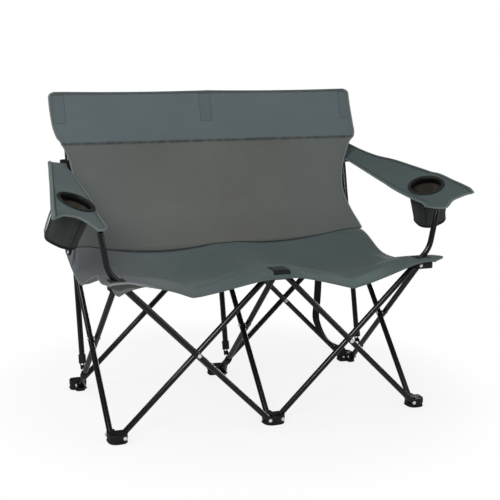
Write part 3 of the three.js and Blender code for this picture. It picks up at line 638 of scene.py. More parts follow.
def arm_rise(side):
    """How far the arm post rises past its bend to the underside of the arm rest."""
    run = LEG + ARM_RUN
    x = PIN_X + run * math.sin(TILT) + ARM_BEND * (math.cos(ARM_LEAN) - math.cos(TILT)) - TUBE
    z = FOOT_PIN + run * math.cos(TILT) + ARM_BEND * (math.sin(TILT) - math.sin(ARM_LEAN))
    z += TUBE * math.sin(ARM_LEAN)
    under = arm_plane(x, side * HALF_STEP - TUBE) - ARM_CLOTH_UNDER
    return (under - z) / (math.cos(ARM_LEAN) - ARM_ACROSS * math.sin(ARM_LEAN))


for side_name, side in SIDES:
    near, far, step = side * PIN_X, side * (BAY - PIN_X), side * HALF_STEP
    outward, inward = (side, 0), (-side, 0)
    arm_leg, front_leg = f"arm_leg_{side_name}", f"front_leg_{side_name}"
    arm_turn = TILT - ARM_LEAN
    arm_length = LEG + ARM_RUN + ARM_BEND * arm_turn + arm_rise(side)
    scissor_tube(f"arm_{side_name}", arm_leg, arm_leg, near, step, outward,
                 arm_length, (LEG + ARM_RUN, ARM_BEND, arm_turn))
    scissor_tube(f"front_{side_name}", front_leg, front_leg, far, -step, inward)
    scissor_tube(f"back_{side_name}_inner", f"back_leg_{side_name}_inner", f"back_{side_name}_inner",
                 near, DEPTH + step, outward)
    scissor_tube(f"back_{side_name}_outer", f"back_leg_{side_name}_outer", f"back_{side_name}_outer",
                 far, DEPTH - step, inward)
for bay, place in BAYS:
    left_x, right_x = place * BAY - HALF_STEP, place * BAY + HALF_STEP
    scissor_tube(f"side_fore_{bay}", f"side_leg_fore_{bay}", f"side_fore_{bay}", left_x, PIN_Y, (0, 1))
    scissor_tube(f"side_aft_{bay}", f"side_leg_aft_{bay}", f"side_aft_{bay}",
                 right_x, DEPTH - PIN_Y, (0, -1))
    tube_piece(f"tube_post_{bay}", f"post_{bay}", f"post_{bay}", np.array([right_x, PIVOT_Y, PIVOT_Z]),
               LEAN, (0, 1), POST_START, post_run(POST_TOP))


# Rivets
def dome(radius, height, start):
    """A low dome above start, from its rim in to its pole."""
    rim = 0.0004
    angle = np.linspace(0, math.pi / 2, 7)[1:]
    cap = np.stack([radius * np.cos(angle), start + rim + (height - rim) * np.sin(angle)], -1)
    cap[-1, 0] = 0
    return np.concatenate([[[radius, start], [radius, start + rim]], cap])


def crossing(place, body, centre, way):
    """A crossing rivet: two domed heads on washers, its shank and the spacer between the tubes."""
    spacer, shank, washer = 0.007, 0.0025, 0.0062
    seat = HALF_STEP + TUBE - 0.0006
    top = seat + 0.0008
    line = [[spacer, 0.0], [spacer, 0.0007], [shank, 0.0007], [shank, seat], [washer, seat], [washer, top]]
    half = np.concatenate([line, dome(0.0046, 0.0026, top)])
    profile = np.concatenate([(half * [1, -1])[::-1], half])
    axes = frame_of(way, (way[1], way[0], 0))
    piece = mesh_piece(f"rivets_{place}", *lathe(profile, 24, np.array(centre), axes), rivet_steel)
    modifier(piece, "EDGE_SPLIT", split_angle=math.radians(40))
    assign(piece, body, "rivet", f"rivet_{place}")


for side_name, side in SIDES:
    crossing(f"front_{side_name}", f"arm_leg_{side_name}", (side * BAY / 2, 0, MIDDLE_Z), (0, 1, 0))
    crossing(f"back_{side_name}", f"back_{side_name}_inner", (side * BAY / 2, DEPTH, MIDDLE_Z), (0, 1, 0))
for bay, place in BAYS:
    crossing(f"side_{bay}", f"side_fore_{bay}", (place * BAY, DEPTH / 2, MIDDLE_Z), (1, 0, 0))

PIN_FOOT = [[0, -0.0012], [0.0054, -0.0012], [0.0054, 0.0007]]
PIN_HEAD = np.concatenate([PIN_FOOT, dome(0.0042, 0.0024, 0.0007)])


# Plastic mouldings
def round_in_plan(mesh):
    """Draws a foot's corners in, seen from above, and its base plate a little further."""
    spots = np.empty(len(mesh.vertices) * 3)
    mesh.vertices.foreach_get("co", spots)
    spots = spots.reshape(-1, 3)
    low, high = spots.min(0), spots.max(0)
    centre, half = ((low + high) / 2)[:2], ((high - low) / 2)[:2]
    near = np.abs(spots[:, :2] - centre) / half
    square = near.max(1)
    curve = square / np.maximum((near ** 2.8).sum(1) ** (1 / 2.8), 1e-6)
    base = 1 - 0.1 * ramp(spots[:, 2], low[2] + 0.012, low[2] + 0.006)
    scale = 1 + (curve * base - 1) * np.clip(square, 0, 1) ** 2
    spots[:, :2] = centre + (spots[:, :2] - centre) * scale[:, None]
    mesh.vertices.foreach_set("co", spots.ravel())


def rounded_copy(node, body, voxel):
    """The node's own form with its edges and corners rounded as a mould leaves them."""
    name = f"moulded_{node}"
    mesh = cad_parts[node].data.copy()
    work = bmesh.new()
    work.from_mesh(mesh)
    bmesh.ops.remove_doubles(work, verts=work.verts, dist=1e-6)
    work.to_mesh(mesh)
    work.free()
    piece = placed(name, mesh)
    modifier(piece, "REMESH", mode="VOXEL", voxel_size=voxel, use_smooth_shade=True)
    modifier(piece, "SMOOTH", factor=0.5, iterations=6)
    bpy.context.view_layer.update()
    shaped = piece.evaluated_get(bpy.context.evaluated_depsgraph_get())
    piece.data = bpy.data.meshes.new_from_object(shaped)
    piece.modifiers.clear()
    piece.data.name = name
    if node.startswith("foot"):
        round_in_plan(piece.data)
    dress(piece.data, plastic)
    assign(piece, body, "plastic", node)


def pin_heads(name, body, spots):
    """Rivet heads at the ends of one moulding's pins; a spot is a place and the way that its head looks."""
    heads = []
    for count, (centre, way) in enumerate(spots):
        head = lathe(PIN_HEAD, 24, np.array(centre), frame_of(way, (0, 0, 1)))
        heads.append(mesh_piece(f"{name}_{count}", *head, rivet_steel))
    piece = joined(name, heads)
    modifier(piece, "EDGE_SPLIT", split_angle=math.radians(40))
    assign(piece, body, "rivet")


def moulding_spots(x, y, z, left, right, flip_x, flip_y):
    """The ends of a moulding's pins: the clevises' pins run from front to back, the side one across."""
    spots = [((x + flip_x * way * PIN_X, y + face * EAR_FACE, z), (0, face, 0))
             for way, here in ((1, right), (-1, left)) if here for face in (1, -1)]
    across = x - flip_x * HALF_STEP
    return spots + [((across + face * 0.014, y + flip_y * PIN_Y, z), (face, 0, 0)) for face in (1, -1)]


for bay, place in BAYS:
    to_right, to_left = place <= 0, place >= 0
    for node, y, z, left, right, flip_x, flip_y in (
            (f"foot_front_{bay}", 0, FOOT_PIN, to_left, to_right, 1, 1),
            (f"foot_back_{bay}", DEPTH, FOOT_PIN, to_right, to_left, -1, -1),
            (f"hub_front_{bay}", 0, HUB_PIN, to_right, to_left, -1, 1),
            (f"hub_back_{bay}", DEPTH, HUB_PIN, to_left, to_right, 1, -1)):
        rounded_copy(node, node, 0.0009)
        pin_heads(f"pins_{node}", node, moulding_spots(place * BAY, y, z, left, right, flip_x, flip_y))
    rounded_copy(f"post_collar_{bay}", f"side_aft_{bay}", 0.0007)
    rounded_copy(f"post_cup_{bay}", f"post_{bay}", 0.0007)


# Cloth seat
OVERHANG = 0.04
LIP_START = 0.0285
HUB_FLAT = 0.04
HUB_FLAT_DEPTH = 0.048
FRONT_SAG = 0.046
BACK_SAG = 0.01
DEPTH_SAG = 0.03
MIDDLE_SAG = 0.008
# The front hem's places across and heights: a pointed scallop in each bay, its point in a valley
VALLEYS = (-0.274, 0.238)
HEM_X = (
    -0.545, -0.5, -0.468, -0.439, -0.409, -0.379, -0.35, -0.32, -0.298, -0.282, -0.262, -0.228, -0.166,
    -0.104, -0.066, -0.03, 0.03, 0.057, 0.09, 0.123, 0.157, 0.191, 0.224, 0.238, 0.256, 0.293, 0.361, 0.43,
    0.457, 0.49, 0.545)
HEM_Z = (
    0.4845, 0.4865, 0.486, 0.479, 0.472, 0.465, 0.457, 0.447, 0.438, 0.432, 0.4325, 0.437, 0.4475, 0.459,
    0.465, 0.468, 0.468, 0.4665, 0.46, 0.452, 0.443, 0.4335, 0.4243, 0.421, 0.4245, 0.433, 0.453, 0.475,
    0.4825, 0.4865, 0.4865)
# By depth: how far the seat's side edges sag, and its half widths
SIDE_Y = (0, 0.05, 0.1, 0.158, 0.221, 0.273, 0.326, 0.36, 0.4, 0.447, 0.488, 0.517)
SIDE_SAG = {-1: (0, 0.001, 0.006, 0.024, 0.047, 0.068, 0.086, 0.084, 0.073, 0.053, 0.03, 0.016),
            1: (0, 0.004, 0.017, 0.036, 0.046, 0.049, 0.045, 0.036, 0.021, 0.006, 0, 0)}
REACH_Y = (-0.04, -0.03, -0.015, 0.01, 0.035, 0.07, 0.11, 0.16, 0.26, 0.4, 0.517)
REACH = {-1: (0.53, 0.537, 0.541, 0.54, 0.537, 0.532, 0.527, 0.523, 0.521, 0.523, 0.527),
         1: (0.52, 0.536, 0.556, 0.573, 0.563, 0.547, 0.534, 0.525, 0.521, 0.523, 0.527)}


def sag_share(place, span, flat, power=2):
    """The share of a full sag between two hubs, flat over the hubs themselves: 1 - |2s - 1| ^ power."""
    return 1 - np.abs(2 * ramp(place, flat, span - flat) - 1) ** power


def hem_height(x):
    return through(HEM_X, HEM_Z, x)


def lip_drop(x):
    """How far the front hem hangs below the cloth's top: least at the corners."""
    return 0.021 - 0.018 * ramp(np.abs(x), 0.38, 0.465)


def slung(x, y):
    """The seat hangs from its six hubs: the front's sag fades to the back's, and the free sides sag by a
    table. Beside a back hub only the cloth past the hub's outer face hangs down."""
    bay = np.minimum(np.abs(x), BAY)
    edge = (bay / BAY) ** 3
    beside = ramp(y, 0.41, 0.44)
    outward = edge * (1 - beside) + beside * ramp(np.abs(x), 0.508, 0.524)
    across = sag_share(bay, BAY, HUB_FLAT, 1.25 + 0.75 * ramp(y, 0, 0.15))
    along = sag_share(y, DEPTH, HUB_FLAT_DEPTH)
    back = ramp(y, 0, DEPTH)
    side = np.where(x < 0, through(SIDE_Y, SIDE_SAG[-1], y), through(SIDE_Y, SIDE_SAG[1], y))
    sag = (FRONT_SAG * (1 - back) + BACK_SAG * back) * across + DEPTH_SAG * along * (1 - edge)
    return CLOTH_TOP - sag - side * outward - MIDDLE_SAG * across * along


def seat_top(x, y):
    """The slung surface, eased over its front third to meet the hem's own heights."""
    front = np.minimum(hem_height(x) + lip_drop(x), CLOTH_TOP)
    return slung(x, y) + (front - slung(x, 0 * x - LIP_START)) * ramp(y, 0.16, 0) ** 2


def crease_depth(x):
    """The crease behind the front hem runs from each valley back towards the hubs beside it."""
    reach = np.where(x < 0, np.abs(x - VALLEYS[0]), np.abs(x - VALLEYS[1]))
    return -0.02 + 0.075 * ramp(reach, 0, 0.22) ** 1.4


def hub_share(x):
    """One over a hub, nought away from it."""
    near = np.minimum(np.abs(x), np.abs(np.abs(x) - BAY))
    return np.where(np.abs(x) > BAY, 1.0, eased(near, 0.1, 0.045))


def seat_x(share, y):
    """The place across at a share of the seat's half width."""
    return share * np.where(share < 0, through(REACH_Y, REACH[-1], y), through(REACH_Y, REACH[1], y))


def side_roll(share):
    return 0.003 * ramp(np.abs(share), 0.965, 1) ** 2


def seat_front_surface(share, row):
    """Rows 0 to 1 are the lip, 1 to 2 the facet up to the crease, and 2 to 3 the seat back to its middle."""
    crease = crease_depth(share * 0.525)
    lip = np.clip(row, 0, 1) * math.pi / 2
    y = np.where(row <= 1, -OVERHANG + (OVERHANG - LIP_START) * (1 - np.cos(lip)),
                 np.where(row <= 2, -LIP_START + (crease + LIP_START) * (row - 1),
                          crease + (DEPTH / 2 - crease) * (row - 2)))
    x = seat_x(share, y)
    hem = hem_height(x)
    draped = np.where(row <= 1, hem + (seat_top(x, 0 * x - LIP_START) - hem) * np.sin(lip), seat_top(x, y))
    facet = hem + (seat_top(x, crease) - hem) * ramp(y, -OVERHANG, crease) ** 0.92
    over = hub_share(x)
    z = np.where(row < 2, over * draped + (1 - over) * facet, seat_top(x, y))
    return np.stack([x, y, z - side_roll(share)], -1)


def seat_back_surface(share, row):
    y = DEPTH / 2 + (DEPTH - 0.008 - DEPTH / 2) * row
    x = seat_x(share, y)
    return np.stack([x, y, seat_top(x, y) - side_roll(share)], -1)


def seat_half(name, surface, rows):
    ends = np.linspace(0.955, 1, 6)[1:]
    shares = np.concatenate([-ends[::-1], np.linspace(-0.955, 0.955, 171), ends])
    points = surface(*np.meshgrid(shares, rows))
    piece = mesh_piece(name, points, points[..., :2] + [0, 0.1], seat_cloth, facing=(0, 0, 1))
    thicken(piece, 0.0025)
    return piece, points


def corner_pocket():
    """The cloth cup under the front left corner: it hangs from the hem round the hub's front, deepest near
    its outer end. Share u goes inward along the hem, v down and back under the hub."""
    u, v = np.meshgrid(np.linspace(0, 1, 41), np.linspace(0, 1, 17))
    x = -0.534 + 0.132 * u + 0.012 * v * (1 - u) ** 2
    deep = 0.041 * np.sin(ramp(u, 0, 0.26) * math.pi / 2) ** 0.7 * ramp(u, 1, 0.26) ** 1.15
    y = -0.0375 - 0.007 * np.sin(math.pi * v) * ramp(deep, 0, 0.02) + 0.014 * v ** 2
    points = np.stack([x, y, hem_height(x) - 0.001 - deep * v], -1)
    flat = np.stack([x, v * 0.04], -1)
    piece = mesh_piece("seat_corner_pocket", points, flat, pocket_cloth, facing=(0, -1, 0))
    thicken(piece, 0.0016)
    return piece


front_rows = np.concatenate([np.linspace(0, 1, 8), np.linspace(1, 2, 11)[1:], np.linspace(2, 3, 56)[1:]])
seat_front, front_points = seat_half("seat_cloth_front", seat_front_surface, front_rows)
seat_back, back_points = seat_half("seat_cloth_back", seat_back_surface, np.linspace(0, 1, 52))
binding = edge_roll("seat_binding_front", front_points[0], (0, -1.0, 0.25), 0.003, 0.0017, front_binding)
seat_pieces = [assign(seat_front, "seat_front", "seat_cloth", "seat_front"),
               assign(seat_back, "seat_back", "seat_cloth", "seat_back"),
               assign(binding, "seat_front", "seat_cloth"),
               assign(corner_pocket(), "seat_front", "seat_cloth")]
for side_name, side in SIDES:
    column = 0 if side < 0 else -1
    for half_name, points in (("front", front_points), ("back", back_points)):
        name = f"seat_binding_{side_name}_{half_name}"
        binding = edge_roll(name, points[:, column], (side * 0.35, 0, 1.0), 0.0026, 0.0018, light_binding)
        seat_pieces.append(assign(binding, f"seat_{half_name}", "seat_cloth"))
for piece in seat_pieces:
    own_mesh(piece)


def patch_piece(bay, centre, half, hole=None):
    """A reinforcement patch: a thin rectangle on the cloth, its rim turned down, with a hole for a tube if
    one passes through. Where it reaches the front hem it bends down with the cloth's lip."""
    u, v = np.meshgrid(np.linspace(-1, 1, 25), np.linspace(-1, 1, 25))
    x, y = centre[0] + u * half[0], centre[1] + v * half[1]
    over = ramp(y, -LIP_START, -OVERHANG)
    z = CLOTH_TOP + 0.0016 - 0.0012 * np.maximum(np.abs(u), np.abs(v)) ** 8
    z = z - 0.021 * (1 - np.sqrt(1 - over ** 2))
    points = np.stack([x, y - 0.0016 * over, z], -1)
    keep = None
    if hole:
        middle = (points[:-1, :-1] + points[1:, 1:]) / 2
        keep = np.hypot(middle[..., 0] - centre[0], middle[..., 1] - centre[1]) > hole
    flat = np.stack([u * half[0], v * half[1]], -1)
    piece = mesh_piece(f"patch_{bay}", points, flat, patch_cloth, facing=(0, 0, 1), keep=keep)
    thicken(piece, 0.0012)
    assign(piece, f"hub_front_{bay}", "patch", f"seat_patch_{bay}")


patch_piece("middle", (0, -0.0095), (0.027, 0.029))
passage_x = BAY - PIN_X + (CLOTH_TOP - HUB_PIN) * math.tan(TILT)
for side_name, side in SIDES:
    patch_piece(side_name, (side * passage_x, side * HALF_STEP), (0.024, 0.02), hole=0.0115)


# Cloth back
BACK_RUN = DEPTH - 0.01
BACK_PLANE_TOP = PIVOT_Y + (BACK_TOP - PIVOT_Z) * math.tan(LEAN) - 0.0125
BACK_SLANT = math.cos(math.radians(18.5)) / 0.98
CORNER_ROUND = 0.016
# The back's half widths by height: pinched between the arm rests, and drawn in on the left above the seam
HALF_Z = (0.46, 0.493, 0.55, 0.62, 0.68, 0.72, 0.745, 0.775, 0.79, 0.8, 0.82, 0.84, 0.86, 0.9, 0.964)
HALF = {
    -1: (0.532, 0.53, 0.507, 0.49, 0.485, 0.488, 0.492, 0.502,
         0.508, 0.513, 0.519, 0.529, 0.536, 0.541, 0.542),
    1: (0.532, 0.526, 0.499, 0.479, 0.484, 0.495, 0.506, 0.519,
        0.528, 0.539, 0.546, 0.545, 0.544, 0.542, 0.542)}


def seam_depth(x):
    """The back meets the seat furthest forward at the middle hub, nearly as far at the left corner, and
    further back at the right one."""
    return DEPTH - 0.085 + np.where(x > 0, 0.05, 0.015) * np.minimum(np.abs(x) / BAY, 1)


def foot_curl(z):
    """One at the back's foot, where the cloth turns forward to the seam, and nought a hand's width above."""
    return ramp(z, BACK_FOOT + 0.12, BACK_FOOT - 0.01) ** 2


def back_depth(z):
    share = (z - BACK_FOOT) / (BACK_TOP - BACK_FOOT)
    return BACK_RUN + (BACK_PLANE_TOP - BACK_RUN) * share + 0.01 * np.sin(math.pi * ramp(z, BACK_FOOT, SEAM))


def back_half(side, z):
    drawn_in = 0.009 * (BACK_TOP - z) / (BACK_TOP - BACK_FOOT) * (1 - foot_curl(z))
    return through(HALF_Z, HALF[side], z) + side * drawn_in


def back_surface(u, share):
    """The back hangs from the posts' tops: a nearly flat head band, and a panel that sags back below it."""
    level = BACK_FOOT + (BACK_TOP - BACK_FOOT) * share
    half = np.where(u < 0, back_half(-1, level), back_half(1, level))
    corner = ramp(level, BACK_TOP - CORNER_ROUND, BACK_TOP)
    x = u * (half - CORNER_ROUND * (1 - np.sqrt(1 - corner ** 2)))
    foot = seat_top(x, seam_depth(x)) + 0.0032
    z = foot + (BACK_TOP - foot) * share
    across = sag_share(np.abs(x - HALF_STEP), BAY, 0.0)
    body, top = ramp(z, BACK_FOOT, SEAM), ramp(z, SEAM, BACK_TOP)
    y = back_depth(z) + 0.014 * across * np.sin(math.pi * body) ** 0.7 + 0.004 * across * top
    y = y - (BACK_RUN - seam_depth(x)) * foot_curl(z) - 0.0022 * ramp(z, SEAM, SEAM + 0.003)
    return np.stack([x, y, z - 0.003 * across * top ** 2], -1)


def back_piece():
    seam = (SEAM - BACK_FOOT) / (BACK_TOP - BACK_FOOT)
    rows = np.concatenate([np.linspace(0, seam - 0.013, 70), np.linspace(seam - 0.013, seam + 0.017, 10)[1:],
                           np.linspace(seam + 0.017, 1, 50)[1:]])
    points = back_surface(*np.meshgrid(np.linspace(-1, 1, 161), rows))
    flat = np.stack([points[..., 0], (points[..., 2] - BACK_FOOT) / BACK_SLANT], -1)
    piece = mesh_piece("back_cloth_panel", points, flat, back_cloth, facing=(0, -1, 0.3))
    thicken(piece, 0.0028)
    return piece, points


def pocket_piece(name, x):
    """A sleeve that hangs over a post's top: a round sock, closed above, sewn to the panel's rear."""
    top = post_run(BACK_TOP - 0.0045)
    outside = [[0.0128, -0.1], [0.0128, -0.004], [0.0122, -0.001], [0.01, 0.0012], [0, 0.002]]
    inside = [[0, 0], [0.0105, -0.002], [0.0105, -0.1]]
    profile = np.array([inside[-1]] + outside + inside) + [0, top]
    points, flat = lathe(profile, 24, np.array([x, PIVOT_Y, PIVOT_Z]), frame_of(POST_WAY, (1, 0, 0)))
    return mesh_piece(name, points, flat + [0, 0.6], back_cloth)


back_panel, back_grid = back_piece()
BACK_FACE = (0, -1.0, 0.35)
back_pieces = [
    back_panel,
    *[pocket_piece(f"back_pocket_{bay}", place * BAY + HALF_STEP) for bay, place in BAYS],
    edge_roll("back_binding_left", back_grid[:, 0], BACK_FACE, 0.003, 0.002, light_binding),
    edge_roll("back_binding_right", back_grid[:, -1], BACK_FACE, 0.003, 0.002, light_binding),
    edge_roll("back_binding_top", back_grid[-1], BACK_FACE, 0.0034, 0.0022, top_binding)]
for piece in back_pieces:
    assign(piece, "post_middle", "back_cloth")
    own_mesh(piece)
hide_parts("back_panel")


# Arm rests
# By depth: the inner edge's place and height, then the outer edge's; a height of 0 is on the cup's plane
ARM_EDGES = {
    -1: np.array([
        (-0.03, 0.524, 0, 0.684, 0), (0.03, 0.523, 0, 0.674, 0), (0.1, 0.5225, 0, 0.66, 0),
        (0.19, 0.519, 0, 0.6415, 0), (0.29, 0.5125, 0.698, 0.6205, 0.7277),
        (0.39, 0.508, 0.709, 0.6007, 0.7369), (0.49, 0.506, 0.722, 0.58, 0.7437),
        (0.58, 0.507, 0.735, 0.562, 0.746), (0.625, 0.499, 0.741, 0.553, 0.747)]),
    1: np.array([
        (-0.01, 0.53, 0, 0.69, 0), (0.05, 0.524, 0, 0.68, 0), (0.09, 0.515, 0, 0.672, 0.7105),
        (0.135, 0.505, 0, 0.662, 0.7165), (0.19, 0.494, 0, 0.65, 0.7235),
        (0.3, 0.495, 0.692, 0.627, 0.734), (0.4, 0.501, 0.703, 0.605, 0.743),
        (0.5, 0.507, 0.714, 0.584, 0.746), (0.585, 0.511, 0.723, 0.565, 0.757),
        (0.66, 0.513, 0.7315, 0.55, 0.771)])}
# The hollowed front edge: shares across from the inner edge, and depths
ARM_FRONT = {
    -1: ((0, 0.05, 0.12, 0.2, 0.26, 0.38, 0.49, 0.64, 0.78, 0.88, 0.95, 1),
         (0.004, -0.012, -0.02, -0.016, 0.012, 0.038, 0.045, 0.04, 0.029, 0.008, -0.008, -0.01)),
    1: ((0, 0.05, 0.12, 0.18, 0.26, 0.34, 0.47, 0.66, 0.85, 0.95, 1),
        (0.045, 0.022, 0.005, -0.001, -0.001, 0.006, 0.02, 0.024, 0.021, 0.018, 0.026))}
ARM_END = {-1: 0.612, 1: 0.655}
ARM_CORNER_LIFT = {-1: 0.014, 1: 0.005}
# From the cup's axis: where the arm rest begins and ends leaving the cup's plane, and the edge of its hole
CUP_FLAT = (0.064, 0.099)
CUP_OPENING = 0.0535


def cup_frame(side):
    """The cup's centre on the arm rest, and axes whose last is its plane's normal."""
    normal = np.array([-side * ARM_ACROSS, -ARM_ALONG, 1.0])
    return np.array([side * CUP_X, CUP_Y, CUP_Z]), frame_of(normal, (1, 0, 0))


def arm_surface(side, across, along):
    """The arm rest on one side: flat on the cup's plane in front, ruled from edge to edge behind it.
    Across goes from its inner edge to its outer one, along from the hollowed front edge to the rear."""
    front = through(*ARM_FRONT[side], across)
    y = front + (ARM_END[side] - front) * along
    depths, inner_x, inner_z, outer_x, outer_z = ARM_EDGES[side].T
    inner, outer = through(depths, inner_x, y), through(depths, outer_x, y)
    low, high = (through(depths, np.where(edge_z > 0, edge_z, arm_plane(edge_x, depths)), y)
                 for edge_x, edge_z in ((inner_x, inner_z), (outer_x, outer_z)))
    x = inner + (outer - inner) * across
    share = eased(np.hypot(x - CUP_X, y - CUP_Y), *CUP_FLAT)
    z = arm_plane(x, y) * (1 - share) + (low + (high - low) * across) * share
    hang = 0.004 * ramp(across, 0.93, 1) ** 2 + 0.004 * ramp(across, 0.06, 0) ** 2
    hem = 0.007 * ramp(along, 0.03, 0) ** 2
    corner = ramp(across, 0.4, 0) ** 2 * ramp(along, 0.2, 0) ** 2 * ARM_CORNER_LIFT[side]
    tent = corner + 0.0035 * np.exp(-((x - 0.556) / 0.018) ** 2 - ((y - side * HALF_STEP) / 0.02) ** 2)
    return np.stack([side * x, y, z - hang * (1 - 0.6 * ramp(y, 0.2, 0.26)) - hem + tent], -1)


def arm_piece(side_name, side):
    points = arm_surface(side, *np.meshgrid(np.linspace(0, 1, 61), np.linspace(0, 1, 171)))
    origin, axes = cup_frame(side)
    beside = (points[:-1, :-1] + points[1:, 1:]) / 2 - origin
    reach = np.linalg.norm(beside - (beside @ axes[2])[..., None] * axes[2], axis=-1)
    steps = [np.cumsum(np.linalg.norm(np.diff(points, axis=axis), axis=-1), axis) for axis in (1, 0)]
    flat = np.stack([np.pad(steps[0], ((0, 0), (1, 0))), np.pad(steps[1], ((1, 0), (0, 0)))], -1)
    piece = mesh_piece(f"arm_cloth_{side_name}", points, flat, arm_cloths[side], facing=(0, 0, 1),
                       keep=reach > CUP_OPENING)
    thicken(piece, 0.0025)
    return piece, points


def arm_blend(piece):
    """Bakes an arm rest piece's placement into its mesh."""
    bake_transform(piece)


def arm_line(side, across, start=0.004, end=0.985):
    """A path on the arm rest at a share across, just above the cloth."""
    along = np.linspace(start, end, 120)
    return arm_surface(side, across + 0 * along, along) + [0, 0, 0.0004]


# The sleeve round the post's top, as growth and height; its half sizes, and how far outward it sits
SLEEVE = np.array([
    (-0.0022, -0.046), (0, -0.047), (0.001, -0.02), (0.0004, -0.004), (0, -0.0006), (-0.0011, 0.0006),
    (-0.0022, -0.0006), (-0.0022, -0.046)])
SLEEVE_HALF = (0.0225, 0.0136)
SLEEVE_OUT = 0.004


def arm_sleeve(side_name, side, height):
    """The cloth round the post's top that the arm rest's rear is sewn to."""
    cos, sin = circle(40)
    grow, rise = SLEEVE[:, :1], SLEEVE[:, 1:, None]
    ring = np.stack([(SLEEVE_HALF[0] + grow) * cos, (SLEEVE_HALF[1] + grow) * sin, 0 * grow * cos], -1)
    foot = np.array([side * (BAY + SLEEVE_OUT) + HALF_STEP, PIVOT_Y, PIVOT_Z])
    around = np.linspace(0, 2 * math.pi, 41) * 0.02
    flat = np.stack(np.broadcast_arrays(around, np.arange(len(SLEEVE))[:, None] * 0.01), -1)
    points = ring + (post_run(height) + rise) * POST_WAY + foot
    material = dark_binding if side < 0 else arm_cloths[side]
    assign(mesh_piece(f"arm_sleeve_{side_name}", points, flat, material), f"post_{side_name}", "arm_cloth")


# The cup ring's section as radius and height
RING = (
    (0.047, -0.014), (0.049, -0.0145), (0.049, 0.0003), (0.0588, 0.0003), (0.0592, 0.0014),
    (0.0585, 0.0034), (0.0565, 0.0042), (0.0535, 0.0046), (0.0505, 0.0042), (0.0482, 0.0030),
    (0.0472, 0.0012), (0.047, -0.0006), (0.0465, -0.006), (0.047, -0.014))
# The pouch: its depth, its radius above and below, its base and inside, and the trim round its foot
POUCH_DEEP = 0.13
POUCH_RADII = (0.058, 0.051)
POUCH_INSIDE = (
    (0.02, -0.1305), (0, -0.1307), (0, -0.1275), (0.036, -0.127), (0.0485, -0.1245), (0.0562, -0.0155),
    (0.0565, -0.0035))
POUCH_TRIM = ((0.0512, -0.1215), (0.0526, -0.122), (0.0524, -0.1275), (0.0505, -0.1305), (0.046, -0.1317),
              (0.046, -0.1306), (0.0504, -0.127), (0.0512, -0.1215))
# The pouch's corners, as an angle about the cup's axis
POUCH_TURN = {-1: 0.3, 1: 0.9}
# The ribbon outside the pouch: where it hangs round the cup's axis, and its radius and height down its run
RIBBON_TURN = {-1: math.pi, 1: 0.0}
RIBBON = np.array([[0.0618, -0.004], [0.0615, -0.03], [0.061, -0.06], [0.059, -0.09], [0.0565, -0.112],
                   [0.052, -0.122]])


def pouch_bulge(side, axes):
    """How far the pouch stands out round its axis: drawn in between its four corners, and slightly wavy."""
    angle = np.linspace(0, 2 * math.pi, 97)
    angle[-1] = 0
    drawn_in = 0.0026 * np.abs(np.sin(2 * (angle - POUCH_TURN[side]))) ** 1.5
    out = 0.0008 - drawn_in + 0.0006 * np.sin(angle * 7 + 2.0)
    return out[:, None] * (np.cos(angle)[:, None] * axes[0] + np.sin(angle)[:, None] * axes[1])


def pouch_pieces(side_name, side):
    """The cup ring, the pouch under it, the trim round its foot, its ribbon and the seams of its corners."""
    body = f"arm_{side_name}"
    origin, axes = cup_frame(side)
    ring = mesh_piece(f"ring_{side_name}", *lathe(RING, 72, origin, axes), ring_grey)
    assign(ring, body, "plastic", f"cup_ring_{side_name}")

    levels = np.concatenate([np.linspace(-0.0035, -0.126, 40), [-0.1285, -POUCH_DEEP]])
    radii = np.interp(-levels, (0, POUCH_DEEP), POUCH_RADII)
    radii[-2:] = [0.0495, 0.045]
    outside = np.stack([radii, levels], -1)
    profile = np.concatenate([outside, POUCH_INSIDE, outside[:1]])
    spots, flat = lathe(profile, 96, origin, axes)
    bulge = pouch_bulge(side, axes)
    spots = spots + ramp(profile[:, 1], -0.006, -0.036)[:, None, None] * bulge
    pouch = mesh_piece(f"pouch_{side_name}", spots, flat, pouch_cloth)
    assign(pouch, body, "pouch_cloth", f"cup_pouch_{side_name}")
    spots, flat = lathe(POUCH_TRIM, 96, origin, axes)
    assign(mesh_piece(f"pouch_trim_{side_name}", spots + bulge, flat, dark_binding), body, "pouch_cloth")

    drops = np.linspace(-0.012, -0.127, 24)
    seam = np.stack([np.interp(-drops, (0, POUCH_DEEP), POUCH_RADII) + 0.0010, drops], -1)
    lines = []
    for count in range(4):
        turn = POUCH_TURN[side] + count * math.pi / 2
        lines.append((f"seam_{side_name}_{count}", turn, seam, 0.0011, 0.0006, dark_binding))
    lines.append((f"ribbon_{side_name}", RIBBON_TURN[side], RIBBON, 0.009, 0.0009, arm_binding))
    for name, turn, line, half_wide, half_thick, material in lines:
        out = math.cos(turn) * axes[0] + math.sin(turn) * axes[1]
        path = origin + line[:, :1] * out + line[:, 1:] * axes[2]
        assign(edge_roll(f"pouch_{name}", path, out, half_wide, half_thick, material), body, "pouch_cloth")


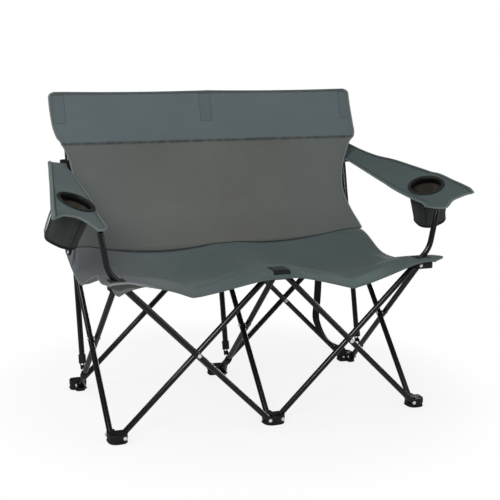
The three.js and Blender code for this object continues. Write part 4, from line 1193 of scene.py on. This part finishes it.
for side_name, side in SIDES:
    arm, points = arm_piece(side_name, side)
    arm_blend(arm)
    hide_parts(f"arm_front_{side_name}", f"arm_rear_{side_name}")
    outward, inward = (side * 0.3, 0, 1.0), (-side * 0.3, 0, 1.0)
    for edge_name, path, normal, half_wide, half_thick, material in (
            ("outer", arm_line(side, 0.965, 0, 1), outward, 0.006, 0.0024, arm_binding),
            ("groove", arm_line(side, 0.9), outward, 0.0009, 0.0006, seam_thread),
            ("inner", points[:, 0], inward, 0.0034, 0.0019, arm_binding),
            ("seam", arm_line(side, 0.065, 0.02), inward, 0.0009, 0.0006, seam_thread),
            ("front", points[0], (0, -0.5, 1.0), 0.0046, 0.0021, arm_binding)):
        name = f"arm_binding_{side_name}_{edge_name}"
        arm_blend(edge_roll(name, path, normal, half_wide, half_thick, material))
    arm_sleeve(side_name, side, points[-1, :, 2].mean() + 0.006)
    pouch_pieces(side_name, side)


# Webbing strap: its places across as shares of the bay, heights as shares of the hub pins' height, the share
# of its run back from its hold under the seat to the foot, and its turn in half turns
STRAP = np.array([
    [0.72, 0, 0, 0], [0.716, 0.66, 0, 0], [0.712, 0.516, 0, 0], [0.706, 0.4, 0, 0.03],
    [0.724, 0.33, 0, 0.1], [0.76, 0.26, -0.09, 0.22], [0.808, 0.202, -0.14, 0.38],
    [0.86, 0.164, -0.05, 0.6], [0.904, 0.132, 0.19, 0.8], [0.936, 0.094, 0.52, 0.96],
    [0.954, 0.051, 0.98, 1], [0.956, 0.013, 1, 1]])
STRAP_START = DEPTH - PIN_Y - 0.017
STRAP_END = DEPTH - 0.0251
STRAP_HALF = (0.0135, 0.0008)


def smooth_route(knots, per_span=8):
    """A curve through every knot, with the slope at each from its neighbours (Catmull-Rom)."""
    padded = np.concatenate([2 * knots[:1] - knots[1:2], knots, 2 * knots[-1:] - knots[-2:-1]])
    t = np.linspace(0, 1, per_span, endpoint=False)[:, None]
    spans = []
    for a, b, c, d in zip(padded[:-3], padded[1:-2], padded[2:-1], padded[3:]):
        square = (2 * a - 5 * b + 4 * c - d) * t ** 2
        spans.append(0.5 * (2 * b + (c - a) * t + square + (3 * b - a - 3 * c + d) * t ** 3))
    return np.concatenate([*spans, knots[-1:]])


def strap_piece():
    x = STRAP[:, 0] * BAY
    y = STRAP_START + (STRAP_END - STRAP_START) * STRAP[:, 2]
    z = STRAP[:, 1] * HUB_PIN
    z[0] = float(seat_top(x[0], y[0])) - 0.0037
    route = smooth_route(np.stack([x, y, z, STRAP[:, 3] * math.pi], -1))
    centres, turn = route[:, :3], route[:, 3]
    ways = unit(np.gradient(centres, axis=0))
    wide = np.stack([np.cos(turn), np.sin(turn), 0 * turn], -1)
    wide = unit(wide - (wide * ways).sum(-1, keepdims=True) * ways)
    section = np.stack([half * np.sign(part) * np.abs(part) ** power
                        for half, part, power in zip(STRAP_HALF, circle(32), (0.25, 0.5))], -1)
    return mesh_piece("strap_webbing", *swept(centres, wide, np.cross(ways, wide), section), webbing)


strap = assign(strap_piece(), "foot_back_right", "webbing", "carry_strap")
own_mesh(strap)


# Floor, light and camera
WORLD_LIGHT = 0.5
WORLD_GLOSS = 0.06
FLOOR_GLOSS = 0.3
# Each lamp's place, aim, size and power
LAMPS = (
    ("key", (-2.2, -3.2, 2.6), (0, 0, 0.5), (1.6, 1.2), 66),
    ("fill", (3.2, -2.0, 1.6), (0, 0, 0.5), (2.4, 2.0), 22),
    ("top", (-2.3, 0.2, 3.2), (0, 0, 0.4), (0.8, 2.0), 22),
    ("rear", (-2.6, 2.6, 2.4), (0, 0, 0.6), (0.6, 2.0), 14),
    ("edge", (2.9, 2.7, 0.35), (0, 0, 0.3), (2.2, 0.7), 40),
)
# The camera's place, turns in degrees, focal length in pixels, and the picture's and the sensor's width
CAMERA_PLACE = (-1.3315, -3.1084, 1.2749)
CAMERA_TURNS = (21.779, -12.212, 1.0627)
FOCAL_PIXELS = 1158.51
PICTURE_PIXELS = 500
SENSOR_MM = 36


def studio_floor():
    """A pale floor that shows white far away and near the object only darkens in its soft shadow."""
    mesh = bpy.data.meshes.new("studio_floor")
    mesh.from_pydata([(-30, -30, 0), (30, -30, 0), (30, 30, 0), (-30, 30, 0)], [], [(0, 1, 2, 3)])
    placed("studio_floor", mesh)
    f = Finish("pale_floor", (0.9, 0.9, 0.9, 1), 0.9, Specular_IOR_Level=0.0)
    x, y, _ = f.solid_place()
    rays = f.node("ShaderNodeLightPath")
    white = f.ease(x * x + y * y, 0.35, 0.9, 0.83, 1.0)
    glossy = Value(f, rays["Is Glossy Ray"])
    share = f.maths("MAXIMUM", white * rays["Is Camera Ray"], glossy * 0.95)
    glow = f.node("ShaderNodeEmission", {"Strength": 1.0 - glossy * (1.0 - FLOOR_GLOSS)})[0]
    mixed = f.node("ShaderNodeMixShader", {0: share, 1: f.shader.outputs[0], 2: glow})[0]
    f.fill(f.tree.nodes["Material Output"].inputs[0], mixed)
    mesh.materials.append(f.material)


def studio():
    """A surround that is white to the camera, soft on cloth and dark in reflections, and the lamps."""
    world = bpy.data.worlds.new("studio")
    bpy.context.scene.world = world
    world.use_nodes = True
    nodes, links = world.node_tree.nodes, world.node_tree.links
    ground = nodes["Background"]
    ground.inputs["Color"].default_value = (1, 1, 1, 1)
    rays = nodes.new("ShaderNodeLightPath").outputs
    strength = None
    for ray, seen in (("Is Camera Ray", 1), ("Is Transmission Ray", 1), ("Is Glossy Ray", WORLD_GLOSS)):
        step = nodes.new("ShaderNodeMath")
        step.operation = "MULTIPLY_ADD"
        links.new(rays[ray], step.inputs[0])
        step.inputs[1].default_value = seen - WORLD_LIGHT
        step.inputs[2].default_value = WORLD_LIGHT
        if strength is not None:
            links.new(strength, step.inputs[2])
        strength = step.outputs[0]
    links.new(strength, ground.inputs["Strength"])
    for name, place, aim, size, power in LAMPS:
        lamp = bpy.data.lights.new(name, "AREA")
        lamp.shape = "RECTANGLE"
        lamp.size, lamp.size_y = size
        lamp.energy = power
        stand = placed(name, lamp)
        stand.location = place
        stand.rotation_euler = (Vector(aim) - Vector(place)).to_track_quat("-Z", "Y").to_euler()
        stand.visible_camera = False


def camera():
    """The photograph's viewpoint: a long lens from the front left, higher than the top of the back."""
    yaw, pitch, roll = (math.radians(turn) for turn in CAMERA_TURNS)
    ahead = np.array([math.sin(yaw) * math.cos(pitch), math.cos(yaw) * math.cos(pitch), math.sin(pitch)])
    right = np.array([math.cos(yaw), -math.sin(yaw), 0.0])
    up = np.cross(right, ahead)
    lens = bpy.data.cameras.new("photo_camera")
    lens.lens = FOCAL_PIXELS * SENSOR_MM / PICTURE_PIXELS
    lens.sensor_width = SENSOR_MM
    lens.clip_start = 0.05
    lens.clip_end = 200
    turn = np.eye(4)
    turn[:3, 0] = math.cos(roll) * right + math.sin(roll) * up
    turn[:3, 1] = -math.sin(roll) * right + math.cos(roll) * up
    turn[:3, 2] = -ahead
    turn[:3, 3] = CAMERA_PLACE + SHIFT
    stand = placed("photo_camera", lens)
    stand.matrix_world = Matrix(turn.tolist())
    bpy.context.scene.camera = stand


studio_floor()
studio()
camera()
bpy.context.scene.view_settings.view_transform = "Standard"
